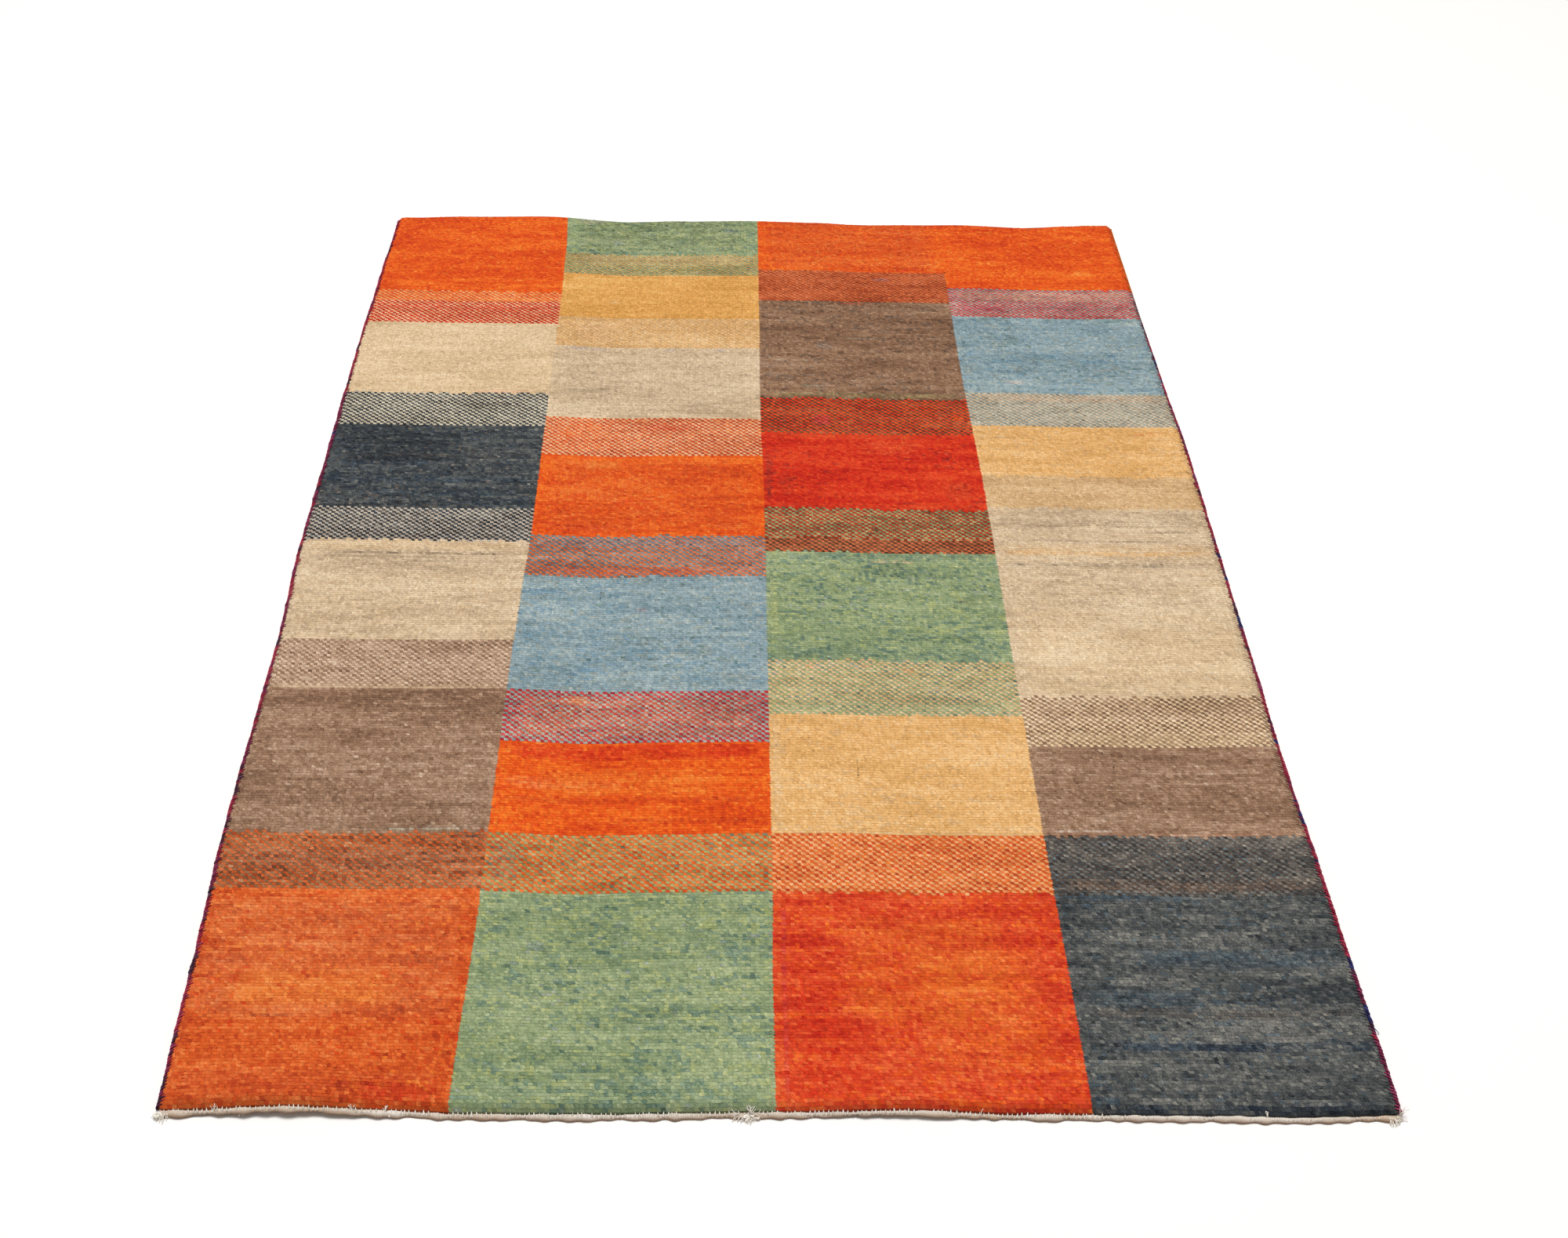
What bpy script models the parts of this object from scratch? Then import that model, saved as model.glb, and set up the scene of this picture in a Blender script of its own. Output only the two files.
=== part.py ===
"""A hand-knotted wool pile rug that lies flat: its knotted field, the overcast selvedge down
each long side, and the white warp end along its near edge with the frayed yarn ends on it.

Metres, +Z up. X runs across the rug and Y along it, from the near end to the far end.
The origin lies under the rug's middle, on the floor.
"""

import math

import bmesh
import bpy
import numpy as np

# Driving dimensions
WIDTH = 1.208  # over both selvedges
LENGTH = 1.723  # from the white warp end to the far edge of the pile
PILE_TOP = 0.010
PILE_RIM = 0.0065  # height of the pile at the rim, where it leans outwards
RIM_WIDTH = 0.009
SELVEDGE_WIDTH = 0.005
SELVEDGE_HEIGHT = 0.0055
WARP_END_DEPTH = 0.0045
WARP_END_HEIGHT = 0.0034
GAP = 0.0003
CORNER_RADIUS = {"near": 0.004, "far": 0.013}

FIELD_HALF_WIDTH = WIDTH / 2 - SELVEDGE_WIDTH - GAP
FIELD_NEAR = -LENGTH / 2 + WARP_END_DEPTH + GAP
FIELD_FAR = LENGTH / 2
FIELD_MIDDLE = (FIELD_NEAR + FIELD_FAR) / 2
FIELD_HALF_LENGTH = (FIELD_FAR - FIELD_NEAR) / 2

# The mesh of the field: rows of points near the rim, then an even spacing inside
RIM_INSETS = (0.0, 0.003, 0.007, 0.013)
GRID_STEP = 0.052
WARP_END_STEP = 0.0115

# How far each edge draws in from the plain rectangle: place along the edge, inward shift
LEFT_EDGE = (
    (-0.850, 0.012),
    (-0.700, 0.009),
    (-0.470, 0.003),
    (-0.200, 0.005),
    (0.000, 0.000),
    (0.250, 0.002),
    (0.460, 0.003),
    (0.650, 0.007),
    (0.840, 0.011),
)
RIGHT_EDGE = (
    (-0.850, 0.000),
    (-0.550, 0.003),
    (-0.380, 0.005),
    (-0.190, 0.003),
    (0.240, 0.000),
    (0.400, 0.003),
    (0.630, 0.005),
    (0.840, 0.006),
)
NEAR_EDGE = (
    (-0.590, 0.010),
    (-0.480, 0.011),
    (-0.360, 0.009),
    (-0.300, 0.006),
    (-0.180, 0.005),
    (0.000, 0.007),
    (0.120, 0.007),
    (0.240, 0.004),
    (0.420, 0.002),
    (0.500, 0.000),
    (0.590, 0.002),
)
FAR_EDGE = (
    (-0.575, 0.013),
    (-0.485, 0.007),
    (-0.344, 0.002),
    (-0.215, 0.016),
    (-0.122, 0.010),
    (0.000, 0.005),
    (0.099, 0.007),
    (0.173, 0.012),
    (0.260, 0.009),
    (0.340, 0.006),
    (0.454, 0.012),
    (0.521, 0.004),
    (0.564, 0.000),
)

# Where the near edge rises off the floor: place across, half the length of the ripple, height
RIPPLES = (
    (-0.470, 0.130, 0.0060),
    (0.120, 0.110, 0.0035),
)
RIPPLE_REACH = 0.090  # how far back from the near edge a ripple runs

# The slow unevenness of the pile's top: half waves across and along a metre, phase, height
SWELLS = (
    (2.3, 3.1, 0.4, 0.0005),
    (4.1, 1.7, 2.1, 0.0004),
    (5.6, 6.7, 4.4, 0.0003),
)

# The uneven thickness of the warp end: radians to the metre, phase, share of the thickness
LUMPS = (
    (310.0, 1.3, 0.10),
    (131.0, 0.0, 0.07),
    (53.0, 0.7, 0.05),
)
LUMP_LAG = 0.004  # how far the lumps of its height trail those of its depth

# The cut and frayed warp ends: place across, strands, spread and turn in degrees, length
FRAYED_ENDS = (
    {"at": -0.5815, "strands": 3, "spread": 80, "turn": -35, "length": 0.0090},
    {"at": -0.0320, "strands": 9, "spread": 150, "turn": 0, "length": 0.0085},
    {"at": 0.5925, "strands": 4, "spread": 90, "turn": 20, "length": 0.0080},
)
STRAND_THICKNESS = 0.0012
STRAND_ROOT_PITCH = 0.0021
STRAND_ROOT_DEPTH = 0.55  # how deep in the warp end a strand starts, as a share of its depth
STRAND_TAPER = ((0.0, 1.0), (0.55, 0.9), (1.0, 0.45))  # share of the length, share of the thickness
SHORTEST_STRAND = 0.85  # as a share of the fray's length
STRAND_RHYTHM = 5.0  # radians from one strand to the next of their uneven lengths

# Edges that turn more than this many degrees stay sharp
FIELD_SHARP_ANGLE = 50
CORD_SHARP_ANGLE = 60
STRAND_SHARP_ANGLE = 40

# Colour and roughness of each yarn
YARNS = {
    "orange_wool": ((0.72, 0.14, 0.025), 0.95),
    "crimson_wool": ((0.20, 0.02, 0.06), 0.90),
    "white_warp": ((0.66, 0.60, 0.52), 0.95),
}


def clear_scene():
    for obj in list(bpy.data.objects):
        bpy.data.objects.remove(obj, do_unlink=True)


def yarn_material(name):
    colour, roughness = YARNS[name]
    material = bpy.data.materials.new(name)
    material.use_nodes = True
    shader = material.node_tree.nodes["Principled BSDF"]
    shader.inputs["Base Color"].default_value = (*colour, 1.0)
    shader.inputs["Roughness"].default_value = roughness
    shader.inputs["Metallic"].default_value = 0.0
    material.diffuse_color = (*colour, 1.0)
    return material


def ease(t):
    """0 below 0, 1 above 1, and a smooth rise between."""
    t = min(max(t, 0.0), 1.0)
    return t * t * (3 - 2 * t)


def smoothed(rows, at):
    """The value of a table of (place, value) rows at a place, eased from row to row."""
    if at <= rows[0][0]:
        return rows[0][1]
    for (start, low), (end, high) in zip(rows, rows[1:]):
        if at <= end:
            return low + (high - low) * ease((at - start) / (end - start))
    return rows[-1][1]


def ripple(x, from_near_edge):
    """How far the rug's underside rises off the floor."""
    fade = 1 - ease(from_near_edge / RIPPLE_REACH)
    rise = sum(height * ease(1 - abs(x - at) / half) for at, half, height in RIPPLES)
    return rise * fade


def swell(x, y):
    return sum(
        height * math.sin(across * x * math.pi + along * y * math.pi + phase)
        for across, along, phase, height in SWELLS
    )


def rounded_corner(x, y):
    """Draws a point of the plain rectangle in, so that the rectangle's corners are round."""
    radius = CORNER_RADIUS["far" if y > 0 else "near"]
    over_x = max(0.0, abs(x) - (FIELD_HALF_WIDTH - radius)) / radius
    over_y = max(0.0, abs(y) - (FIELD_HALF_LENGTH - radius)) / radius
    less_x = over_x * (1 - math.sqrt(1 - over_y**2 / 2)) * radius
    less_y = over_y * (1 - math.sqrt(1 - over_x**2 / 2)) * radius
    return x - math.copysign(less_x, x), y - math.copysign(less_y, y)


def field_plan(x, y):
    """Where a point of the plain rectangle, counted from the field's middle, really lies."""
    x, y = rounded_corner(x, y)
    to_right = (x / FIELD_HALF_WIDTH + 1) / 2
    to_far = (y / FIELD_HALF_LENGTH + 1) / 2
    along = y + FIELD_MIDDLE
    shift_x = (1 - to_right) * smoothed(LEFT_EDGE, along) - to_right * smoothed(RIGHT_EDGE, along)
    shift_y = (1 - to_far) * smoothed(NEAR_EDGE, x) - to_far * smoothed(FAR_EDGE, x)
    return x + shift_x, along + shift_y


def underside(x, y):
    """Height of the underside at a point of the plain rectangle."""
    return ripple(x, y + FIELD_HALF_LENGTH)


def pile_height(x, y):
    """Thickness of the rug at a point of the plain rectangle."""
    inset = min(FIELD_HALF_WIDTH - abs(x), FIELD_HALF_LENGTH - abs(y))
    inside = ease(inset / RIM_WIDTH)
    return PILE_RIM + (PILE_TOP - PILE_RIM + swell(x, y)) * inside


def grid_lines(half):
    """Places from -half to half: close together at both rims, evenly spaced inside."""
    inner = half - RIM_INSETS[-1]
    middle = np.linspace(-inner, inner, round(2 * inner / GRID_STEP) + 1)
    rim = [half - inset for inset in RIM_INSETS[:-1]]
    return [-place for place in rim] + list(middle) + rim[::-1]


def finished_object(name, bm, material, sharp_angle):
    """Makes an object of a bmesh, its faces pointing out, smooth but for its sharp edges."""
    bmesh.ops.recalc_face_normals(bm, faces=bm.faces)
    mesh = bpy.data.meshes.new(name)
    bm.to_mesh(mesh)
    bm.free()
    mesh.shade_smooth()
    mesh.set_sharp_from_angle(angle=math.radians(sharp_angle))
    mesh.materials.append(material)
    obj = bpy.data.objects.new(name, mesh)
    bpy.context.scene.collection.objects.link(obj)
    return obj


def field(material):
    """The knotted field as one slab: a flat foundation below and an uneven pile above."""
    columns = grid_lines(FIELD_HALF_WIDTH)
    rows = grid_lines(FIELD_HALF_LENGTH)
    bm = bmesh.new()
    layers = []
    for is_top in (False, True):
        layer = []
        for y in rows:
            line = []
            for x in columns:
                height = underside(x, y) + (pile_height(x, y) if is_top else 0.0)
                line.append(bm.verts.new((*field_plan(x, y), height)))
            layer.append(line)
        layers.append(layer)
    for layer in layers:
        for near, far in zip(layer, layer[1:]):
            for a, b, c, d in zip(near, near[1:], far[1:], far):
                bm.faces.new((a, b, c, d))
    rims = [rim_of(layer) for layer in layers]
    for k in range(len(rims[0])):
        after = (k + 1) % len(rims[0])
        bm.faces.new((rims[0][k], rims[0][after], rims[1][after], rims[1][k]))
    flat = [face for face in bm.faces if max(abs(vert.co.z) for vert in face.verts) == 0.0]
    bmesh.ops.dissolve_faces(bm, faces=flat)
    return finished_object("pile_field", bm, material, FIELD_SHARP_ANGLE)


def rim_of(layer):
    """The outermost points of a layer of the field, once round."""
    left = [line[0] for line in layer]
    right = [line[-1] for line in layer]
    return layer[0][:-1] + right[:-1] + layer[-1][:0:-1] + left[:0:-1]


def swept(name, sections, material):
    """A closed strip through a list of sections, each a ring of as many points."""
    bm = bmesh.new()
    rings = [[bm.verts.new(point) for point in section] for section in sections]
    for ring, following in zip(rings, rings[1:]):
        for k in range(len(ring)):
            after = (k + 1) % len(ring)
            bm.faces.new((ring[k], ring[after], following[after], following[k]))
    bm.faces.new(rings[0])
    bm.faces.new(rings[-1][::-1])
    return finished_object(name, bm, material, CORD_SHARP_ANGLE)


# Sections as shares of a strip's width, outwards from the field, and of its height
SELVEDGE_SECTION = (
    (0.00, 0.00),
    (0.00, 0.82),
    (0.28, 1.00),
    (0.68, 0.95),
    (1.00, 0.58),
    (0.96, 0.20),
    (0.70, 0.00),
)
WARP_END_SECTION = (
    (0.00, 0.00),
    (0.00, 0.85),
    (0.40, 1.00),
    (0.90, 0.72),
    (1.00, 0.30),
    (0.85, 0.00),
)


def selvedge(side, name, material):
    """The overcast cord down one long side; side is -1 on the left and 1 on the right."""
    sections = []
    nearest = CORNER_RADIUS["near"] - FIELD_HALF_LENGTH
    farthest = FIELD_HALF_LENGTH - CORNER_RADIUS["far"]
    for y in grid_lines(FIELD_HALF_LENGTH):
        if not nearest <= y <= farthest:
            continue
        wall, along = field_plan(side * FIELD_HALF_WIDTH, y)
        floor = underside(side * FIELD_HALF_WIDTH, y)
        section = []
        for out, up in SELVEDGE_SECTION:
            x = wall + side * (GAP + out * SELVEDGE_WIDTH)
            section.append((x, along, floor + up * SELVEDGE_HEIGHT))
        sections.append(section)
    return swept(name, sections, material)


def warp_end_line():
    """The near edge of the field as a function: place across, to the edge's y and its height."""
    edge = [field_plan(x, -FIELD_HALF_LENGTH) for x in grid_lines(FIELD_HALF_WIDTH)]
    lift = [underside(x, -FIELD_HALF_LENGTH) for x in grid_lines(FIELD_HALF_WIDTH)]
    places = [x for x, _ in edge]

    def at(x):
        return np.interp(x, places, [y for _, y in edge]), np.interp(x, places, lift)

    return places, at


def lumps(x):
    """The uneven thickness of the warp end, about 1."""
    return 1 + sum(share * math.sin(rate * x + phase) for rate, phase, share in LUMPS)


def warp_end(material):
    """The white end of the warps, turned back along the near edge."""
    places, line = warp_end_line()
    count = round((places[-1] - places[0]) / WARP_END_STEP)
    sections = []
    for x in sorted({*places, *np.linspace(places[0], places[-1], count)}):
        y, floor = line(x)
        depth = WARP_END_DEPTH * lumps(x)
        height = WARP_END_HEIGHT * lumps(x + LUMP_LAG)
        sections.append(
            [(x, y - GAP - out * depth, floor + up * height) for out, up in WARP_END_SECTION]
        )
    return swept("warp_end_near", sections, material)


def strand(bm, root, heading, length):
    """A three-sided yarn end that lies level, thick at its root and thin at its tip."""
    ahead = np.array([math.sin(heading), -math.cos(heading), 0.0])
    aside = np.array([math.cos(heading), math.sin(heading), 0.0])
    rings = []
    for along, share in STRAND_TAPER:
        middle = np.array(root) + ahead * along * length
        thickness = STRAND_THICKNESS * share
        corners = (
            middle - aside * thickness / 2,
            middle + aside * thickness / 2,
            middle + np.array([0.0, 0.0, thickness]),
        )
        rings.append([bm.verts.new(corner) for corner in corners])
    for ring, following in zip(rings, rings[1:]):
        for k in range(3):
            after = (k + 1) % 3
            bm.faces.new((ring[k], ring[after], following[after], following[k]))
    bm.faces.new(rings[0])
    bm.faces.new(rings[-1][::-1])


def frayed_ends(material):
    """The loose warp ends as one hidden helper, which the warp end is joined with."""
    _, line = warp_end_line()
    bm = bmesh.new()
    for fray in FRAYED_ENDS:
        for k in range(fray["strands"]):
            share = k / (fray["strands"] - 1) - 0.5
            x = fray["at"] + share * STRAND_ROOT_PITCH * (fray["strands"] - 1)
            y, floor = line(x)
            root = (x, y - GAP - STRAND_ROOT_DEPTH * WARP_END_DEPTH, floor)
            heading = math.radians(fray["turn"] + fray["spread"] * share)
            uneven = math.cos(STRAND_RHYTHM * k) * (1 - SHORTEST_STRAND)
            strand(bm, root, heading, fray["length"] * (SHORTEST_STRAND + uneven))
    helper = finished_object("frayed_ends_helper", bm, material, STRAND_SHARP_ANGLE)
    helper.hide_render = True
    helper.display_type = "WIRE"
    return helper


def join_with(obj, helper):
    union = obj.modifiers.new("frayed ends", "BOOLEAN")
    union.operation = "UNION"
    union.object = helper


def build():
    clear_scene()
    materials = {name: yarn_material(name) for name in YARNS}
    field(materials["orange_wool"])
    selvedge(-1, "selvedge_left", materials["crimson_wool"])
    selvedge(1, "selvedge_right", materials["crimson_wool"])
    end = warp_end(materials["white_warp"])
    join_with(end, frayed_ends(materials["white_warp"]))


build()
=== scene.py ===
"""The looks of a hand-knotted wool pile rug that lies flat on a pale floor.

Its field is built knot by knot: every knot is a small tuft with a dye of its own. The overcast
selvedges are built stitch by stitch, and the white warp end by its ridges, teeth and frayed yarns.

Metres, +Z up. X runs across the rug and Y along it, from the near end to the far end.
"""

import math

import bpy
import numpy as np
from mathutils import Matrix, Vector


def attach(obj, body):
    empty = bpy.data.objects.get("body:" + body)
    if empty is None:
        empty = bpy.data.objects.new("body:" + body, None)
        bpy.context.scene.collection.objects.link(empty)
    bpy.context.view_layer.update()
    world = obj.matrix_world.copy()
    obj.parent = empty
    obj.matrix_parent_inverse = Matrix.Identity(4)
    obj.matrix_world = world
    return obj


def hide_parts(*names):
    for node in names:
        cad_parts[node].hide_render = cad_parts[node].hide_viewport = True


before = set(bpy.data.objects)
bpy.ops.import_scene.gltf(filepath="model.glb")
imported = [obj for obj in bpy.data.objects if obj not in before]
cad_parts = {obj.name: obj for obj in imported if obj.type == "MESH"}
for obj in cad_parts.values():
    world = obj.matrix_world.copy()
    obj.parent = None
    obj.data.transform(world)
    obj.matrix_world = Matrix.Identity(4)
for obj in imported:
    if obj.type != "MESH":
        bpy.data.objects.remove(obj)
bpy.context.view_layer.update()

ROOT = "root"

# ---------------------------------------------------------------------------------------------
# Sizes, as in the solids
# ---------------------------------------------------------------------------------------------

WIDTH = 1.208
LENGTH = 1.723
PILE_TOP = 0.010
PILE_RIM = 0.0065
RIM_WIDTH = 0.009
SELVEDGE_WIDTH = 0.005
SELVEDGE_HEIGHT = 0.0055
WARP_END_DEPTH = 0.0045
WARP_END_HEIGHT = 0.0034
GAP = 0.0003
CORNER_RADIUS = {"near": 0.004, "far": 0.013}

FIELD_HALF_WIDTH = WIDTH / 2 - SELVEDGE_WIDTH - GAP
FIELD_NEAR = -LENGTH / 2 + WARP_END_DEPTH + GAP
FIELD_FAR = LENGTH / 2
FIELD_MIDDLE = (FIELD_NEAR + FIELD_FAR) / 2
FIELD_HALF_LENGTH = (FIELD_FAR - FIELD_NEAR) / 2

# How far each edge draws in from the plain rectangle: place along the edge, inward shift
LEFT_EDGE = (
    (-0.850, 0.012),
    (-0.700, 0.009),
    (-0.470, 0.003),
    (-0.200, 0.005),
    (0.000, 0.000),
    (0.250, 0.002),
    (0.460, 0.003),
    (0.650, 0.007),
    (0.840, 0.011),
)
RIGHT_EDGE = (
    (-0.850, 0.000),
    (-0.550, 0.003),
    (-0.380, 0.005),
    (-0.190, 0.003),
    (0.240, 0.000),
    (0.400, 0.003),
    (0.630, 0.005),
    (0.840, 0.006),
)
NEAR_EDGE = (
    (-0.590, 0.010),
    (-0.480, 0.011),
    (-0.360, 0.009),
    (-0.300, 0.006),
    (-0.180, 0.005),
    (0.000, 0.007),
    (0.120, 0.007),
    (0.240, 0.004),
    (0.420, 0.002),
    (0.500, 0.000),
    (0.590, 0.002),
)
FAR_EDGE = (
    (-0.575, 0.013),
    (-0.485, 0.007),
    (-0.344, 0.002),
    (-0.215, 0.016),
    (-0.122, 0.010),
    (0.000, 0.005),
    (0.099, 0.007),
    (0.173, 0.012),
    (0.260, 0.009),
    (0.340, 0.006),
    (0.454, 0.012),
    (0.521, 0.004),
    (0.564, 0.000),
)
# Where the near edge rises off the floor: place across, half the length of the ripple, height
RIPPLES = (
    (-0.470, 0.130, 0.0060),
    (0.120, 0.110, 0.0035),
)
RIPPLE_REACH = 0.090
# The slow unevenness of the pile's top: half waves across and along a metre, phase, height
SWELLS = (
    (2.3, 3.1, 0.4, 0.0005),
    (4.1, 1.7, 2.1, 0.0004),
    (5.6, 6.7, 4.4, 0.0003),
)
# The uneven thickness of the warp end: radians to the metre, phase, share of the thickness
LUMPS = (
    (310.0, 1.3, 0.10),
    (131.0, 0.0, 0.07),
    (53.0, 0.7, 0.05),
)
LUMP_LAG = 0.004
# The cut and frayed warp ends: place across, strands, spread and turn in degrees, length
FRAYED_ENDS = (
    {"at": -0.5815, "strands": 3, "spread": 50, "turn": -35, "length": 0.0090},
    {"at": -0.0320, "strands": 9, "spread": 150, "turn": 0, "length": 0.0085},
    {"at": 0.5925, "strands": 4, "spread": 90, "turn": 20, "length": 0.0080},
)

# ---------------------------------------------------------------------------------------------
# The knots
# ---------------------------------------------------------------------------------------------

ROWS = 440
COLUMN_KNOTS = (63, 68, 66, 65)  # knots across each of the four columns of colour
KNOTS = sum(COLUMN_KNOTS)
STRIPS_PER_COLUMN = 3
ROW_PITCH = 2 * FIELD_HALF_LENGTH / ROWS
KNOT_PITCH = 2 * FIELD_HALF_WIDTH / KNOTS

# Where the borders between the columns of colour run: place along, place across
COLUMN_BORDERS = (
    ((-0.860, -0.315), (-0.600, -0.311), (-0.250, -0.311), (-0.100, -0.309), (0.020, -0.306), (0.600, -0.306), (0.750, -0.308), (0.860, -0.312)),
    ((-0.860, -0.004), (-0.700, -0.004), (-0.585, -0.002), (0.100, 0.000), (0.300, -0.002), (0.600, 0.000), (0.860, 0.001)),
    ((-0.860, 0.300), (-0.300, 0.299), (0.100, 0.301), (0.450, 0.297), (0.650, 0.298), (0.860, 0.300)),
)
# How the rows sag and rise across the rug: place across, how far the row lies off its line
ROW_SAG = (
    (-0.600, 0.0000),
    (-0.450, -0.0010),
    (-0.310, 0.0005),
    (-0.210, -0.0042),
    (-0.120, -0.0012),
    (-0.020, 0.0010),
    (0.060, 0.0010),
    (0.180, -0.0018),
    (0.240, -0.0010),
    (0.360, 0.0008),
    (0.480, -0.0010),
    (0.600, 0.0018),
)
EDGE_REACH = 0.300  # how far in from its own edge the waviness of an end runs

FOUNDATION = 0.0025  # thickness of the woven ground under the pile
PILE_ROOT = 0.0015  # height at which the pile's strips begin, inside the foundation
TUFT_RISE = 0.0007  # how far the middle of a knot stands over its near corners
ROW_STEP = 0.0003  # how far the far side of a row lies under the near side of the next
ROW_OVERLAP = 0.0002  # how far a row leans over the one in front of it
SLANT = 0.0016  # how far a knot's pile leans to the left over the length of the knot
CORNER_STRAY = 0.00070
TUFT_STRAY = 0.00090
TUFT_UNEVEN = 0.00050

# Painted shade at a knot's near and far corners and in the gap in front; painted highlight at its tip
PAINTED_KNOT_SHADING = {"near": 0.97, "far": 0.91, "riser": 0.86, "tip": 1.04}
SIDE_TONE = 0.10  # how much lighter or darker the left and the right of a knot may be
FIRST_ROWS_SHADE = (0.60, 0.82, 0.94)  # painted shade: how light the first rows over the near edge are drawn

# ---------------------------------------------------------------------------------------------
# The dyes, as sRGB colours of the yarn: deep, middle and light
# ---------------------------------------------------------------------------------------------

DYES = {
    "orange": ((204, 64, 18), (226, 88, 22), (238, 120, 38)),
    "flame": ((186, 44, 16), (212, 64, 22), (226, 88, 32)),
    "amber": ((222, 110, 34), (236, 132, 48), (242, 156, 72)),
    "burnt orange": ((182, 62, 24), (212, 92, 36), (230, 126, 64)),
    "brick": ((146, 40, 20), (182, 62, 30), (206, 84, 44)),
    "rust": ((122, 50, 30), (164, 76, 44), (196, 104, 66)),
    "apricot": ((204, 124, 72), (224, 150, 94), (236, 176, 124)),
    "tan": ((192, 124, 84), (214, 150, 106), (230, 180, 140)),
    "peach": ((186, 142, 108), (206, 164, 128), (224, 190, 156)),
    "red": ((176, 24, 14), (206, 46, 22), (224, 76, 36)),
    "scarlet": ((186, 42, 24), (215, 74, 38), (234, 112, 60)),
    "wine": ((104, 28, 26), (142, 42, 34), (176, 62, 48)),
    "raspberry": ((150, 30, 42), (196, 50, 56), (216, 88, 86)),
    "crimson": ((140, 24, 56), (176, 44, 74), (200, 76, 96)),
    "blush": ((214, 150, 120), (230, 176, 146), (240, 200, 172)),
    "cream": ((198, 170, 132), (218, 190, 151), (231, 207, 172)),
    "beige": ((186, 160, 128), (211, 185, 152), (226, 204, 172)),
    "grey beige": ((164, 144, 118), (194, 170, 140), (212, 190, 160)),
    "fawn": ((176, 146, 120), (204, 176, 150), (220, 196, 170)),
    "stone": ((146, 136, 118), (186, 174, 152), (212, 200, 176)),
    "ash": ((78, 80, 78), (112, 112, 106), (146, 144, 134)),
    "charcoal": ((32, 36, 40), (60, 65, 68), (98, 100, 98)),
    "graphite": ((50, 54, 56), (84, 86, 85), (122, 120, 114)),
    "navy": ((20, 28, 42), (40, 52, 66), (66, 82, 96)),
    "denim": ((44, 58, 70), (68, 86, 98), (98, 114, 122)),
    "dusk": ((58, 50, 46), (94, 82, 74), (132, 116, 102)),
    "bark": ((84, 54, 34), (128, 86, 56), (162, 120, 84)),
    "cinnamon": ((158, 60, 26), (198, 94, 46), (216, 120, 74)),
    "ochre": ((154, 120, 64), (192, 148, 86), (212, 172, 110)),
    "russet": ((104, 66, 42), (156, 108, 72), (190, 142, 102)),
    "brown": ((118, 88, 68), (150, 116, 92), (180, 148, 124)),
    "umber": ((104, 74, 54), (138, 103, 78), (164, 130, 102)),
    "sage": ((112, 130, 96), (142, 156, 116), (168, 178, 136)),
    "moss": ((126, 122, 74), (164, 152, 100), (186, 174, 122)),
    "olive": ((52, 58, 38), (112, 122, 84), (160, 160, 112)),
    "dove": ((134, 122, 110), (166, 152, 138), (190, 178, 162)),
    "teal": ((58, 86, 86), (88, 118, 110), (118, 144, 130)),
    "leaf": ((146, 154, 98), (170, 176, 114), (190, 192, 132)),
    "gold": ((198, 142, 68), (220, 162, 88), (232, 182, 110)),
    "honey": ((206, 156, 92), (225, 175, 112), (236, 194, 138)),
    "sand": ((188, 150, 106), (210, 173, 126), (224, 192, 150)),
    "sky": ((112, 136, 144), (140, 160, 166), (168, 182, 182)),
    "blue": ((90, 124, 146), (112, 146, 166), (138, 166, 182)),
    "mist": ((112, 120, 116), (148, 156, 148), (178, 182, 170)),
    "slate": ((80, 96, 102), (116, 134, 138), (150, 160, 158)),
    "mauve": ((112, 86, 94), (146, 118, 122), (172, 146, 146)),
    "lilac": ((140, 126, 132), (170, 156, 156), (192, 180, 176)),
    "magenta": ((112, 30, 64), (142, 42, 82), (166, 66, 104)),
    "plum": ((62, 28, 50), (88, 40, 66), (116, 66, 92)),
    "ink": ((34, 34, 84), (48, 48, 112), (72, 70, 134)),
    "cotton": ((200, 186, 168), (230, 220, 206), (247, 242, 234)),
}
# Yarns spun from more than one colour: the other dyes in them, and how many of the knots each takes
HEATHERS = {
    "sage": (("teal", 0.26), ("leaf", 0.22), ("mist", 0.04)),
    "sky": (("blue", 0.18), ("mist", 0.28), ("teal", 0.06)),
    "charcoal": (("navy", 0.24), ("ash", 0.10), ("dusk", 0.06)),
    "graphite": (("denim", 0.12), ("charcoal", 0.28), ("ash", 0.18)),
    "brown": (("umber", 0.22), ("fawn", 0.03)),
    "umber": (("dusk", 0.18), ("brown", 0.22)),
    "orange": (("flame", 0.22), ("amber", 0.05)),
    "burnt orange": (("brick", 0.12), ("amber", 0.04), ("flame", 0.12)),
    "scarlet": (("orange", 0.34), ("red", 0.22)),
    "red": (("flame", 0.22), ("wine", 0.06)),
    "beige": (("grey beige", 0.24), ("cream", 0.18)),
    "honey": (("sand", 0.16),),
    "moss": (("teal", 0.12), ("leaf", 0.16)),
}
HEATHER_BLEND = 0.60  # how much of its colour such a knot takes from the other dye
HEATHER_STRAY = 0.36  # how unevenly the flecks lie along their streaks
DRIFT_BLEND = 0.75  # how much of its colour a knot takes from a drift at full strength
DRIFT_STRAY = 0.35  # how unevenly a drift takes from knot to knot
DRIFT_SOFT = (0.035, 0.020)  # how wide its soft edges are at most, across and along
DRIFT_SOFT_SHARE = 0.3  # how wide they are at most to its size
GRAIN_BY_CONTRAST = 0.5  # strength of a yarn's grain to the contrast of its dye

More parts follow.
